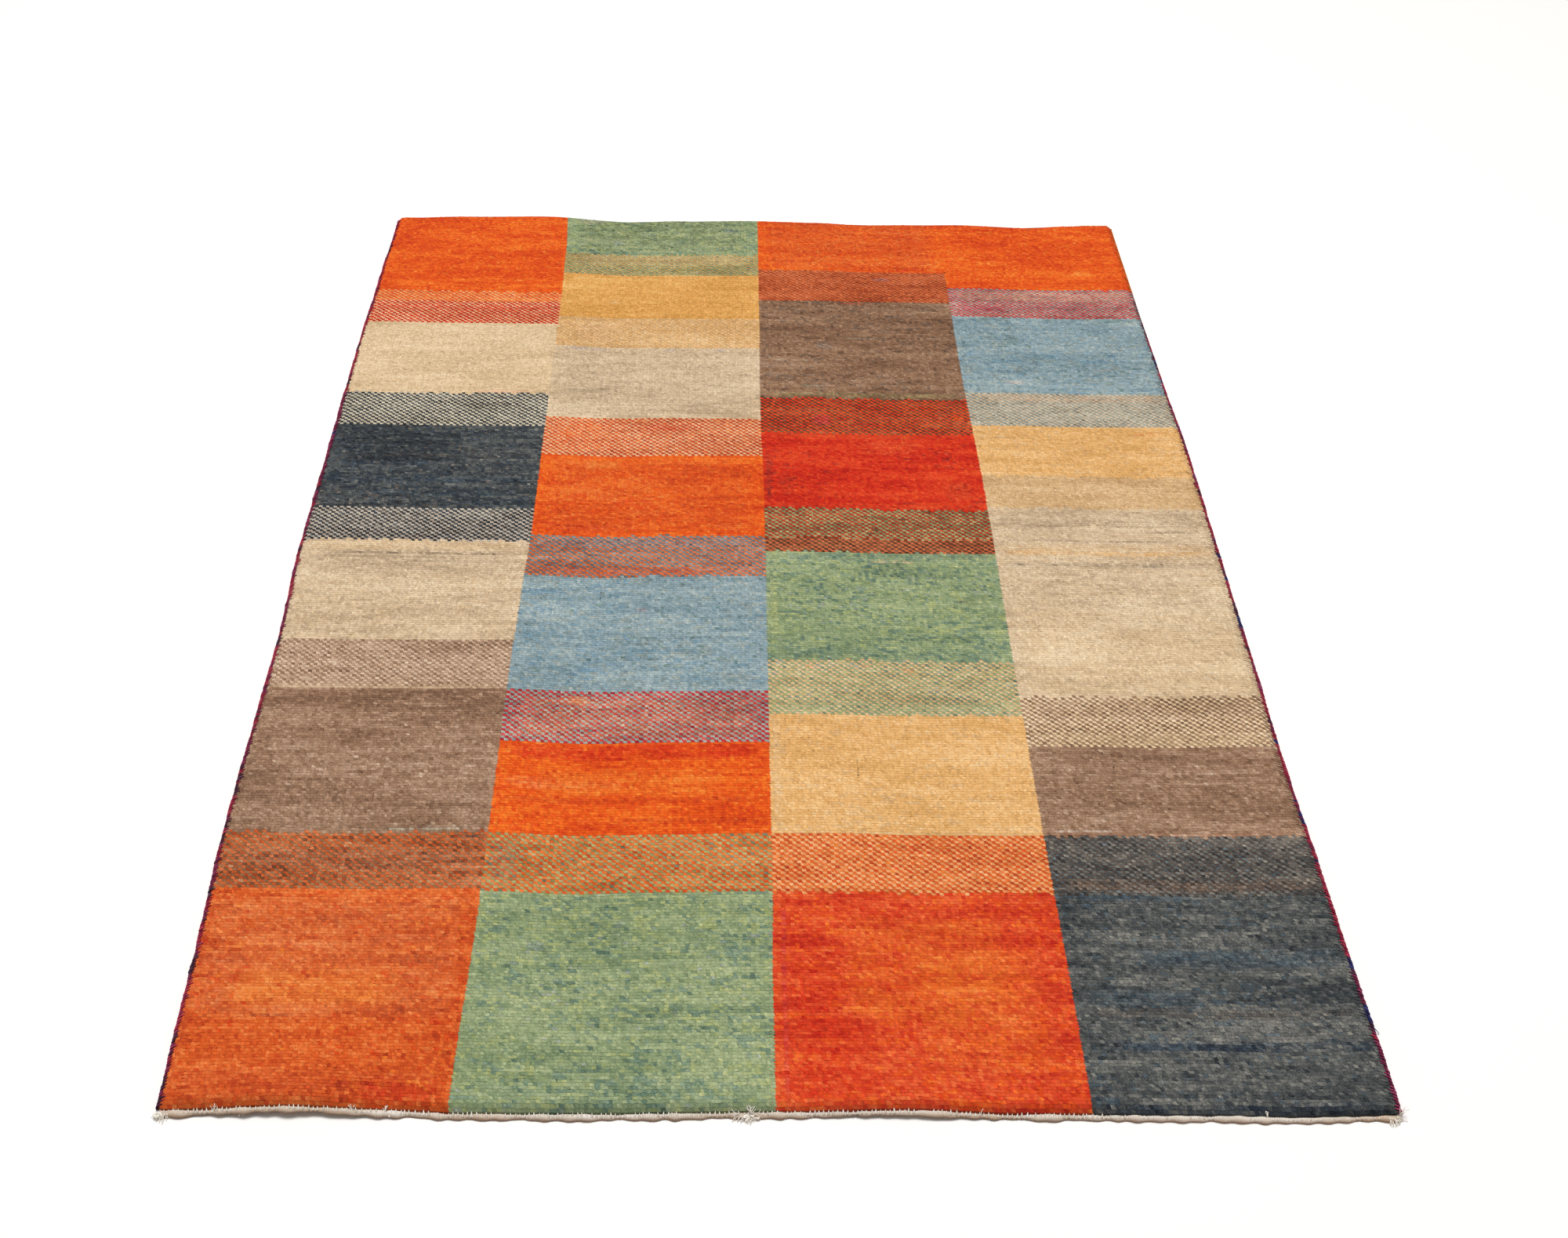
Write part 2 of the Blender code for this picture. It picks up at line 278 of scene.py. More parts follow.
# The bands of each column of colour, from the far end: place of the far border, the ground's
# dye, the dye of the other knots, and how much lighter and deeper the two are than as listed
BANDS = (
    (
        (0.900, "orange", None, 0.0),
        (0.617, "orange", "apricot", 0.1),
        (0.587, "red", "tan", 0.5),
        (0.526, "cream", None, 0.0),
        (0.340, "charcoal", "stone", 0.3),
        (0.260, "charcoal", None, 0.0),
        (0.073, "charcoal", "dove", 0.4),
        (0.004, "beige", None, 0.0),
        (-0.190, "brown", "fawn", -0.3),
        (-0.275, "brown", None, 0.0),
        (-0.500, "cinnamon", "russet", 0.1),
        (-0.579, "burnt orange", None, 0.0),
    ),
    (
        (0.900, "sage", None, 0.0),
        (0.738, "sage", "ochre", 0.2),
        (0.675, "gold", None, 0.0),
        (0.549, "sand", "honey", 0.2),
        (0.467, "beige", None, 0.0),
        (0.284, "burnt orange", "tan", 0.6),
        (0.194, "orange", None, 0.0),
        (0.019, "slate", "cinnamon", 0.4),
        (-0.063, "sky", None, 0.0),
        (-0.275, "raspberry", "mist", 0.1),
        (-0.361, "orange", None, 0.0),
        (-0.501, "burnt orange", "moss", -0.2),
        (-0.583, "sage", None, 0.0),
    ),
    (
        (0.900, "orange", None, 0.0),
        (0.693, "rust", "cinnamon", 0.2),
        (0.604, "umber", None, 0.0),
        (0.340, "red", "bark", 0.6),
        (0.253, "red", None, 0.0),
        (0.079, "brick", "olive", -0.5),
        (0.016, "rust", "bark", 0.8),
        (-0.012, "sage", None, 0.0),
        (-0.219, "sage", "sand", 0.1),
        (-0.313, "honey", None, 0.0),
        (-0.502, "burnt orange", "apricot", 0.1),
        (-0.585, "scarlet", None, 0.0),
    ),
    (
        (0.900, "orange", None, 0.0),
        (0.649, "raspberry", "mist", 0.0),
        (0.564, "sky", None, 0.0),
        (0.358, "mist", "grey beige", 0.3),
        (0.276, "honey", None, 0.0),
        (0.157, "sand", None, 0.0),
        (0.086, "beige", None, 0.0),
        (-0.281, "brown", "cream", 0.25),
        (-0.365, "brown", None, 0.0),
        (-0.503, "graphite", "dusk", 0.4),
        (-0.586, "graphite", None, 0.0),
    ),
)

# Local turns of colour in the yarn: from and to across, from and to along, in millimetres, then
# the dye and its strength
DRIFTS = (
    (-600, -308, 562, 574, "red", 0.35),
    (-430, -320, 341, 348, "blush", 0.7),
    (-590, -430, 167, 177, "navy", 0.8),
    (-600, -308, 186, 193, "dusk", 0.2),
    (-600, -308, 127, 142, "navy", 0.6),
    (-560, -330, 100, 109, "denim", 0.5),
    (-600, -308, -18, 4, "cream", 0.9),
    (-560, -330, -25, -19, "dusk", 0.60),
    (-590, -400, -34, -28, "dusk", 0.45),
    (-480, -320, -43, -37, "dusk", 0.45),
    (-600, -308, -75, -18, "grey beige", 0.60),
    (-600, -308, -277, -268, "cream", 0.5),
    (-440, -320, -497, -492, "stone", 0.9),
    (-600, -308, -560, -520, "dusk", 0.22),
    (-340, -312, -510, -505, "charcoal", 0.7),
    (-440, -312, -653, -640, "brick", 0.6),
    (-600, -520, -681, -665, "brick", 0.6),
    (-390, -312, -683, -664, "brick", 0.7),
    (-600, -312, -750, -585, "apricot", 0.22),
    (-560, -370, -735, -680, "amber", 0.45),
    (-540, -470, -743, -738, "rust", 0.8),
    (-600, -312, -848, -800, "brick", 0.50),
    (-420, -312, -848, -812, "red", 0.35),
    (-300, -240, 834, 846, "lilac", 0.45),
    (-260, -200, 827, 834, "leaf", 0.6),
    (-306, -2, 738, 864, "olive", 0.50),
    (-235, -215, 765, 785, "slate", 0.5),
    (-60, -30, 805, 825, "slate", 0.5),
    (-250, -100, 739, 747, "teal", 0.6),
    (-306, -2, 704, 738, "sand", 0.3),
    (-306, -2, 676, 700, "olive", 0.25),
    (-306, -2, 548, 560, "gold", 0.7),
    (-240, -210, 591, 599, "cream", 0.25),
    (-290, -200, 470, 545, "peach", 0.25),
    (-300, -220, 455, 465, "lilac", 0.5),
    (-150, -125, 455, 465, "lilac", 0.5),
    (-70, -50, 455, 465, "lilac", 0.5),
    (-200, -165, 453, 461, "moss", 0.3),
    (-306, -2, 284, 467, "grey beige", 0.5),
    (-240, -215, 352, 357, "dusk", 0.5),
    (-306, -200, 200, 283, "orange", 0.35),
    (-180, -80, 250, 270, "red", 0.35),
    (-250, -190, 160, 185, "amber", 0.5),
    (-306, -150, 19, 52, "flame", 0.55),
    (-306, -2, 19, 194, "cinnamon", 0.30),
    (-200, -150, 91, 96, "red", 0.8),
    (-306, -2, -6, 19, "slate", 0.35),
    (-306, -2, -62, -43, "orange", 0.35),
    (-270, -200, -22, -17, "charcoal", 0.6),
    (-100, -60, -25, -20, "charcoal", 0.6),
    (-300, -260, -101, -90, "blue", 0.8),
    (-235, -200, -241, -230, "blue", 0.8),
    (-50, -20, -236, -225, "blue", 0.8),
    (-80, -60, -245, -235, "blue", 0.8),
    (-165, -150, -131, -123, "lilac", 0.7),
    (-311, -2, -363, -277, "apricot", 0.25),
    (-240, -210, -299, -281, "apricot", 0.5),
    (-311, -2, -392, -361, "red", 0.9),
    (-311, -150, -436, -415, "apricot", 0.25),
    (-270, -50, -450, -398, "amber", 0.5),
    (-311, -2, -456, -445, "brick", 0.35),
    (-200, -2, -485, -478, "brick", 0.4),
    (-310, -270, -583, -503, "teal", 0.22),
    (-311, -2, -851, -815, "teal", 0.20),
    (-260, -235, -660, -648, "slate", 0.5),
    (0, 298, 691, 862, "cinnamon", 0.35),
    (220, 245, 694, 706, "red", 0.6),
    (149, 156, 782, 788, "wine", 0.9),
    (217, 224, 704, 710, "wine", 0.9),
    (180, 210, 664, 677, "mauve", 0.5),
    (230, 290, 575, 600, "charcoal", 0.35),
    (110, 180, 596, 601, "brick", 0.5),
    (10, 80, 434, 439, "stone", 0.35),
    (110, 200, 497, 502, "stone", 0.3),
    (80, 115, 465, 490, "slate", 0.2),
    (55, 95, 365, 375, "teal", 0.4),
    (0, 298, 341, 357, "moss", 0.35),
    (70, 100, 270, 300, "raspberry", 0.6),
    (270, 296, 285, 300, "orange", 0.7),
    (0, 298, 240, 253, "brick", 0.35),
    (4, 12, 80, 212, "wine", 0.75),
    (20, 42, 100, 160, "brick", 0.4),
    (240, 292, 95, 150, "brick", 0.4),
    (120, 230, 198, 245, "scarlet", 0.6),
    (0, 298, 79, 90, "scarlet", 0.6),
    (0, 300, -32, -12, "teal", 0.35),
    (130, 200, -32, -27, "blush", 0.5),
    (55, 180, -51, -46, "charcoal", 0.4),
    (235, 262, -111, -105, "navy", 0.6),
    (0, 298, -219, -195, "teal", 0.3),
    (5, 13, -182, -64, "leaf", 0.50),
    (42, 58, -236, -227, "orange", 0.25),
    (110, 126, -235, -226, "orange", 0.25),
    (160, 180, -240, -230, "orange", 0.25),
    (0, 298, -313, -290, "sage", 0.4),
    (215, 255, -350, -345, "sand", 0.8),
    (200, 290, -450, -445, "sand", 0.8),
    (0, 298, -501, -496, "sand", 0.6),
    (0, 12, -502, -313, "cream", 0.3),
    (60, 250, -760, -610, "amber", 0.30),
    (130, 285, -815, -650, "amber", 0.25),
    (0, 110, -853, -735, "red", 0.60),
    (0, 60, -735, -600, "red", 0.40),
    (5, 11, -842, -600, "raspberry", 0.5),
    (500, 540, 690, 715, "amber", 0.6),
    (525, 545, 759, 770, "red", 0.6),
    (300, 598, 564, 649, "rust", 0.14),
    (300, 598, 608, 649, "peach", 0.30),
    (300, 390, 574, 602, "crimson", 0.35),
    (300, 598, 564, 574, "brick", 0.35),
    (510, 590, 552, 562, "teal", 0.45),
    (320, 400, 552, 562, "teal", 0.45),
    (306, 326, 440, 480, "blue", 0.6),
    (345, 400, 438, 448, "blue", 0.65),
    (420, 455, 454, 466, "blue", 0.65),
    (475, 565, 439, 451, "blue", 0.65),
    (490, 530, 419, 424, "cream", 0.35),
    (355, 390, 381, 389, "blush", 0.3),
    (300, 598, 334, 357, "peach", 0.35),
    (520, 580, 257, 262, "apricot", 0.7),
    (300, 375, 244, 249, "dusk", 0.35),
    (420, 480, 215, 220, "dusk", 0.3),
    (390, 440, 182, 187, "dusk", 0.3),
    (300, 600, 40, 88, "grey beige", 0.45),
    (300, 600, 55, 59, "dusk", 0.3),
    (320, 600, 45, 49, "dusk", 0.25),
    (500, 592, 33, 37, "dusk", 0.4),
    (300, 560, 14, 18, "dusk", 0.25),
    (300, 600, -20, 12, "sand", 0.45),
    (300, 600, -16, -4, "honey", 0.4),
    (300, 600, -43, -27, "dusk", 0.22),
    (300, 600, -36, -31, "dusk", 0.4),
    (300, 600, -285, -112, "cream", 0.45),
    (300, 600, -285, -155, "cream", 0.7),
    (300, 600, -322, -281, "brown", 0.35),
    (300, 600, -365, -338, "cream", 0.4),
    (305, 385, -498, -493, "cotton", 0.4),
    (300, 600, -503, -497, "rust", 0.15),
    (300, 600, -582, -563, "umber", 0.3),
    (300, 470, -594, -587, "denim", 0.7),
    (360, 600, -686, -655, "denim", 0.50),
    (300, 440, -736, -710, "denim", 0.55),
    (330, 515, -787, -774, "navy", 0.9),
    (560, 600, -787, -774, "navy", 0.9),
    (300, 600, -790, -770, "navy", 0.35),
    (300, 600, -858, -845, "navy", 0.7),
    (300, 600, -747, -733, "dusk", 0.35),
)

SEED = 20

# The streaks in the yarn: length across, length along, strength
STREAKS = (
    (0.110, 0.030, 0.34),
    (0.070, 0.008, 0.36),
    (0.024, 0.004, 0.26),
)
KNOT_TONE = 0.28  # strength of the difference from knot to knot


# ---------------------------------------------------------------------------------------------
# Plan and heights
# ---------------------------------------------------------------------------------------------


def ease(t):
    """0 below 0, 1 above 1, and a smooth rise between."""
    t = np.clip(t, 0.0, 1.0)
    return t * t * (3 - 2 * t)


def smoothed(rows, at):
    """The value of a table of (place, value) rows at each place, eased from row to row."""
    places, values = np.array(rows).T
    k = np.clip(np.searchsorted(places, at) - 1, 0, len(places) - 2)
    t = ease((at - places[k]) / (places[k + 1] - places[k]))
    return values[k] + (values[k + 1] - values[k]) * t


def ripple(x, from_near_edge):
    fade = 1 - ease(from_near_edge / RIPPLE_REACH)
    rise = sum(height * ease(1 - np.abs(x - at) / half) for at, half, height in RIPPLES)
    return rise * fade


def underside(x, y):
    """Height of the underside at points of the plain rectangle."""
    return ripple(x, y + FIELD_HALF_LENGTH)


def pile_height(x, y):
    """Thickness of the rug at points of the plain rectangle."""
    inset = np.minimum(FIELD_HALF_WIDTH - np.abs(x), FIELD_HALF_LENGTH - np.abs(y))
    swell = sum(
        height * np.sin(across * x * np.pi + along * y * np.pi + phase)
        for across, along, phase, height in SWELLS
    )
    return PILE_RIM + (PILE_TOP - PILE_RIM + swell) * ease(inset / RIM_WIDTH)


def rounded_corner(x, y):
    """Draws points of the plain rectangle in, so that the rectangle's corners are round."""
    radius = np.where(y > 0, CORNER_RADIUS["far"], CORNER_RADIUS["near"])
    over_x = np.maximum(0.0, np.abs(x) - (FIELD_HALF_WIDTH - radius)) / radius
    over_y = np.maximum(0.0, np.abs(y) - (FIELD_HALF_LENGTH - radius)) / radius
    less_x = over_x * (1 - np.sqrt(1 - over_y**2 / 2)) * radius
    less_y = over_y * (1 - np.sqrt(1 - over_x**2 / 2)) * radius
    return x - np.copysign(less_x, x), y - np.copysign(less_y, y)


def field_plan(x, y):
    """Where points of the plain rectangle, counted from the field's middle, really lie."""
    x, y = rounded_corner(x, y)
    along = y + FIELD_MIDDLE
    guides = [-FIELD_HALF_WIDTH + smoothed(LEFT_EDGE, along)]
    guides += [smoothed(border, along) for border in COLUMN_BORDERS]
    guides += [FIELD_HALF_WIDTH - smoothed(RIGHT_EDGE, along)]
    firsts = np.cumsum((0,) + COLUMN_KNOTS)
    knot = (x + FIELD_HALF_WIDTH) / KNOT_PITCH
    column = np.clip(np.searchsorted(firsts, knot, side="right") - 1, 0, len(COLUMN_KNOTS) - 1)
    share = (knot - firsts[column]) / np.array(COLUMN_KNOTS)[column]
    guides = np.array(guides)
    start = np.take_along_axis(guides, column[None], axis=0)[0]
    end = np.take_along_axis(guides, column[None] + 1, axis=0)[0]
    near = 1 - ease((y + FIELD_HALF_LENGTH) / EDGE_REACH)
    far = 1 - ease((FIELD_HALF_LENGTH - y) / EDGE_REACH)
    shift = near * smoothed(NEAR_EDGE, x) - far * smoothed(FAR_EDGE, x)
    shift += (1 - near - far) * smoothed(ROW_SAG, x)
    return start + (end - start) * share, along + shift


def lumps(x):
    """The uneven thickness of the warp end, about 1."""
    return 1 + sum(share * np.sin(rate * x + phase) for rate, phase, share in LUMPS)


# ---------------------------------------------------------------------------------------------
# Meshes
# ---------------------------------------------------------------------------------------------


def linear(srgb):
    """Scene colour of sRGB values from 0 to 1."""
    srgb = np.clip(np.asarray(srgb, float), 0.0, 1.0)
    return np.where(srgb <= 0.04045, srgb / 12.92, ((srgb + 0.055) / 1.055) ** 2.4)


def new_piece(name, points, groups, material, colours=None, uv=None, smooth=True):
    """An object of points and groups of faces with as many corners each, riding on the rug.

    colours and uv hold a value for each corner of each face, in the order of the groups.
    """
    corners = np.concatenate([group.ravel() for group in groups])
    sizes = np.concatenate([np.full(len(group), group.shape[1]) for group in groups])
    mesh = bpy.data.meshes.new(name)
    mesh.vertices.add(len(points))
    mesh.vertices.foreach_set("co", np.ascontiguousarray(points, np.float32).ravel())
    mesh.loops.add(len(corners))
    mesh.loops.foreach_set("vertex_index", corners.astype(np.int32))
    mesh.polygons.add(len(sizes))
    starts = np.concatenate([[0], np.cumsum(sizes)[:-1]])
    mesh.polygons.foreach_set("loop_start", starts.astype(np.int32))
    mesh.update(calc_edges=True)
    mesh.polygons.foreach_set("use_smooth", np.full(len(sizes), smooth))
    if uv is not None:
        layer = mesh.uv_layers.new(name="OFBake")
        layer.data.foreach_set("uv", np.ascontiguousarray(uv, np.float32).ravel())
    mesh.materials.append(material)
    obj = bpy.data.objects.new(name, mesh)
    bpy.context.scene.collection.objects.link(obj)
    if colours is not None:
        add_colours(obj, "dye", colours)
    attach(obj, ROOT)
    return obj


def add_colours(obj, name, colours):
    """Gives each corner of each face a colour and a grain, under a name that materials can read."""
    layer = obj.data.attributes.new(name, "FLOAT_COLOR", "CORNER")
    layer.data.foreach_set("color", np.ascontiguousarray(colours, np.float32).ravel())


def keep_sharp(obj, first_soft_point):
    """Makes every edge sharp that runs only between points before the first soft one."""
    mesh = obj.data
    ends = np.empty(2 * len(mesh.edges), np.int32)
    mesh.edges.foreach_get("vertices", ends)
    sharp = (ends.reshape(-1, 2) < first_soft_point).all(axis=1)
    layer = mesh.attributes.new("sharp_edge", "BOOLEAN", "EDGE")
    layer.data.foreach_set("value", sharp)
    mesh.update()


# ---------------------------------------------------------------------------------------------
# The dye of each knot
# ---------------------------------------------------------------------------------------------


def value_noise(rng, x, y, across, along):
    """Smooth noise from -1 to 1 at places x and y, with cells of that size."""
    columns = int(WIDTH / across) + 4
    rows = int(LENGTH / along) + 4
    lattice = rng.uniform(-1, 1, (rows, columns))
    u = (x + WIDTH / 2) / across + 1
    v = (y + LENGTH / 2) / along + 1
    i = np.floor(u).astype(int)
    j = np.floor(v).astype(int)
    s = ease(u - i)
    t = ease(v - j)
    near = lattice[j, i] * (1 - s) + lattice[j, i + 1] * s
    far = lattice[j + 1, i] * (1 - s) + lattice[j + 1, i + 1] * s
    return near * (1 - t) + far * t


def dyed(names, which, tone):
    """Colour and grain of each knot: the dye that which picks, deep at tone -1 and light at 1."""
    table = linear(np.array([DYES[name] for name in names]) / 255)
    bright = table.sum(axis=2)
    grain = GRAIN_BY_CONTRAST * (bright[:, 2] - bright[:, 0]) / bright[:, 1]
    table = np.concatenate([table, np.repeat(grain[:, None, None], 3, axis=1)], axis=2)
    deep, middle, light = (table[which, k] for k in range(3))
    tone = tone[..., None]
    return np.where(tone < 0, middle + (deep - middle) * -tone, middle + (light - middle) * tone)


def plain_dye(name):
    return dyed([name], np.array([0]), np.zeros(1))[0]


def knot_colours(rng, x, y):
    """Colour of each knot at real places x and y, both as arrays of rows by knots."""
    names = sorted(DYES)
    ground = np.zeros(x.shape, int)
    other = np.zeros(x.shape, int)
    apart = np.zeros(x.shape)
    first = 0
    rest = y - smoothed(ROW_SAG, x)
    for count, bands in zip(COLUMN_KNOTS, BANDS):
        here = np.s_[:, first : first + count]
        for border, ground_dye, other_dye, contrast in bands:
            inside = rest[here] < border
            ground[here][inside] = names.index(ground_dye)
            other[here][inside] = names.index(other_dye or ground_dye)
            apart[here][inside] = contrast
        first += count
    rows, knots = np.indices(x.shape)
    check = (rows + knots) % 2 == 1
    tone = sum(
        strength * value_noise(rng, x, y, across, along) for across, along, strength in STREAKS
    )
    tone += KNOT_TONE * rng.normal(0, 1, x.shape)
    which = np.where(check, other, ground)
    beside = np.where(check, ground, other)
    brightness = np.array([linear(np.array(DYES[name][1]) / 255).sum() for name in names])
    tone = np.clip(1.2 * tone + apart * np.sign(brightness[which] - brightness[beside]), -1, 1)
    colours = dyed(names, which, tone)
    for dye, flecks in HEATHERS.items():
        for fleck, part in flecks:
            reach = 0.3 * value_noise(rng, x, y, 0.12, 0.05) + value_noise(rng, x, y, 0.011, 0.0038)
            reach += HEATHER_STRAY * rng.normal(0, 1, x.shape)
            spun = which == names.index(dye)
            over = (reach[spun] - np.quantile(reach[spun], 1 - part)) / HEATHER_STRAY
            fleck_colour = dyed(names, np.full(spun.sum(), names.index(fleck)), tone[spun])
            colours[spun] += (fleck_colour - colours[spun]) * (HEATHER_BLEND * ease(over))[:, None]
    patchy = 1 + 0.5 * value_noise(rng, x, y, 0.030, 0.006) + DRIFT_STRAY * rng.normal(0, 1, x.shape)
    for left, right, near, far, dye, strength in DRIFTS:
        left, right, near, far = (side / 1000 for side in (left, right, near, far))
        soft_x = min(DRIFT_SOFT[0], DRIFT_SOFT_SHARE * (right - left))
        soft_y = min(DRIFT_SOFT[1], DRIFT_SOFT_SHARE * (far - near))
        inside = ease((x - left) / soft_x) * ease((right - x) / soft_x)
        inside = inside * ease((rest - near) / soft_y) * ease((far - rest) / soft_y)
        amount = DRIFT_BLEND * np.clip(strength * patchy * inside, 0, 1)[..., None]
        target = dyed(names, np.full(x.shape, names.index(dye)), tone)
        colours = colours + (target - colours) * amount
    # painted shade over the first rows at the near edge
    for row, light in enumerate(FIRST_ROWS_SHADE):
        colours[row, :, :3] *= light
    return colours


# ---------------------------------------------------------------------------------------------
# The pile
# ---------------------------------------------------------------------------------------------


def pile_points(rng):
    """Corner points of every row, near and far line, and the tip of every knot."""
    lines = -FIELD_HALF_WIDTH + KNOT_PITCH * np.arange(KNOTS + 1)
    rows = -FIELD_HALF_LENGTH + ROW_PITCH * np.arange(ROWS)
    inner_x = np.ones(KNOTS + 1)
    inner_x[[0, -1]] = 0
    inner_y = np.ones((ROWS, 2, 1))
    inner_y[0, 0] = 0
    inner_y[-1, 1] = 0
    plan_x = np.broadcast_to(lines, (ROWS, 2, KNOTS + 1)).copy()
    plan_y = np.empty_like(plan_x)
    plan_y[:, 0] = rows[:, None]
    plan_y[:, 1] = (rows + ROW_PITCH)[:, None]
    plan_y[:, 0] -= (ROW_OVERLAP * inner_y[:, 0])
    height = underside(plan_x, plan_y) + pile_height(plan_x, np.clip(plan_y, -FIELD_HALF_LENGTH, FIELD_HALF_LENGTH))
    height[:, 1] -= ROW_STEP * inner_y[:, 1]
    plan_x += np.array([SLANT / 2, -SLANT / 2])[None, :, None] * inner_x
    plan_x += rng.uniform(-CORNER_STRAY, CORNER_STRAY, plan_x.shape) * inner_x
    plan_y += rng.uniform(-CORNER_STRAY, CORNER_STRAY, plan_x.shape) * inner_y
    x, y = field_plan(plan_x, np.clip(plan_y, -FIELD_HALF_LENGTH, FIELD_HALF_LENGTH))
    corners = np.stack([x, y, height], axis=-1)
    tip_x = np.broadcast_to(lines[:-1] + KNOT_PITCH / 2, (ROWS, KNOTS)).copy()
    tip_y = np.broadcast_to((rows + ROW_PITCH * 0.45)[:, None], (ROWS, KNOTS)).copy()
    tip_x += rng.uniform(-TUFT_STRAY, TUFT_STRAY, tip_x.shape)
    tip_y += rng.uniform(-TUFT_STRAY, TUFT_STRAY, tip_x.shape)
    rise = TUFT_RISE + rng.uniform(-TUFT_UNEVEN, TUFT_UNEVEN, tip_x.shape)
    tip_z = underside(tip_x, tip_y) + pile_height(tip_x, tip_y) + rise
    x, y = field_plan(tip_x, tip_y)
    return corners, np.stack([x, y, tip_z], axis=-1)


BAKE_FOLDS = 4  # a strip's map is folded into this many lengths, side by side
WALL_ROWS = 10  # rows to each face of a strip's walls


def pile_strip(rng, name, first, last, corners, tips, colours, material):
    """The pile of the knots from first to last as one closed strip: tufts, walls and a base."""
    count = last - first
    side_tone = rng.normal(0, 1, (ROWS, count))
    corners = corners[:, :, first : last + 1]
    tips = tips[:, first:last]
    colours = colours[:, first:last]
    number = np.arange(corners[..., 0].size).reshape(ROWS, 2, count + 1)
    tip_number = number.size + np.arange(ROWS * count).reshape(ROWS, count)
    near_left, near_right = number[:, 0, :-1], number[:, 0, 1:]
    far_left, far_right = number[:, 1, :-1], number[:, 1, 1:]
    sides = (
        (near_left, near_right, "near", "near"),
        (near_right, far_right, "near", "far"),
        (far_right, far_left, "far", "far"),
        (far_left, near_left, "far", "near"),
    )
    triangles = np.stack([np.stack([a, b, tip_number], axis=-1) for a, b, _, _ in sides], axis=2)
    # painted shade at the corners of each tuft and painted highlight at its tip
    shades = np.array([(PAINTED_KNOT_SHADING[a], PAINTED_KNOT_SHADING[b], PAINTED_KNOT_SHADING["tip"]) for _, _, a, b in sides])
    lean = 1 + SIDE_TONE * np.stack([0 * side_tone, side_tone, 0 * side_tone, -side_tone], axis=-1)
    tuft_colours = colours[:, :, None, None, :] * (shades[None, None] * lean[..., None])[..., None]
    risers = np.stack([far_left[:-1], far_right[:-1], near_right[1:], near_left[1:]], axis=-1)
    # painted shade in the gap in front of each row
    riser_shades = np.array([PAINTED_KNOT_SHADING["riser"]] * 2 + [PAINTED_KNOT_SHADING["near"]] * 2)
    riser_colours = colours[1:, :, None, :] * riser_shades[None, None, :, None]

    # The base: a row of three points under every tenth row, and one at the far end
    stops = [*range(0, ROWS, WALL_ROWS), ROWS]
    middle = count // 2
    base = []
    base_number = []
    next_number = number.size + tip_number.size
    for stop in stops:
        line = corners[min(stop, ROWS - 1), 0 if stop < ROWS else 1, [0, middle, count]]
        plan_y = -FIELD_HALF_LENGTH + ROW_PITCH * stop
        plan_x = -FIELD_HALF_WIDTH + KNOT_PITCH * (first + np.array([0, middle, count]))
        low = np.column_stack([line[:, 0], line[:, 1], underside(plan_x, plan_y) + PILE_ROOT])
        base.append(low)
        base_number.append(next_number + np.arange(3))
        next_number += 3
    base_number = np.array(base_number)
    base_faces = np.concatenate(
        [
            np.stack([base_number[:-1, k], base_number[1:, k], base_number[1:, k + 1], base_number[:-1, k + 1]], axis=-1)
            for k in (0, 1)
        ]
    )
    walls = []
    for k, (start, end) in enumerate(zip(stops, stops[1:])):
        for side, low in ((0, 0), (count, 2)):
            line = list(number[start:end, :, side].ravel())
            if end < ROWS:
                line.append(number[end, 0, side])
            face = line[::-1] + [base_number[k, low], base_number[k + 1, low]]
            walls.append(face if side == 0 else face[::-1])
    for row, line, low in ((0, 0, 0), (ROWS - 1, 1, -1)):
        for k, (start, end) in enumerate(((0, middle), (middle, count))):
            face = list(number[row, line, start : end + 1])
            face = face[::-1] + [base_number[low, k], base_number[low, k + 1]]
            walls.append(face[::-1] if row == 0 else face)
    wall_groups = [np.array([face]) for face in walls]
    groups = [triangles.reshape(-1, 3), risers.reshape(-1, 4), base_faces, *wall_groups]
    points = np.concatenate([corners.reshape(-1, 3), tips.reshape(-1, 3), np.concatenate(base)])

    edge_colours = nearest_colours(points, groups[2:], tips, colours)
    corner_colours = np.concatenate(
        [tuft_colours.reshape(-1, 4), riser_colours.reshape(-1, 4), *edge_colours]
    )
    uv = strip_map(count, [len(group.ravel()) for group in groups[2:]])
    obj = new_piece(name, points, groups, material, corner_colours, uv)
    keep_sharp(obj, number.size)
    return obj


def nearest_colours(points, groups, tips, colours):
    """Colours of the corners of walls and base: those of the knots beside them, in shade."""
    row_y = tips[:, 0, 1]
    knot_x = tips[0, :, 0]
    found = []
    for group in groups:
        place = points[group.ravel()]
        row = np.clip(np.searchsorted(row_y, place[:, 1]), 0, len(row_y) - 1)
        knot = np.clip(np.searchsorted(knot_x, place[:, 0]), 0, len(knot_x) - 1)
        # painted shade on the walls and the base of the strip
        found.append(colours[row, knot] * PAINTED_KNOT_SHADING["far"])
    return found


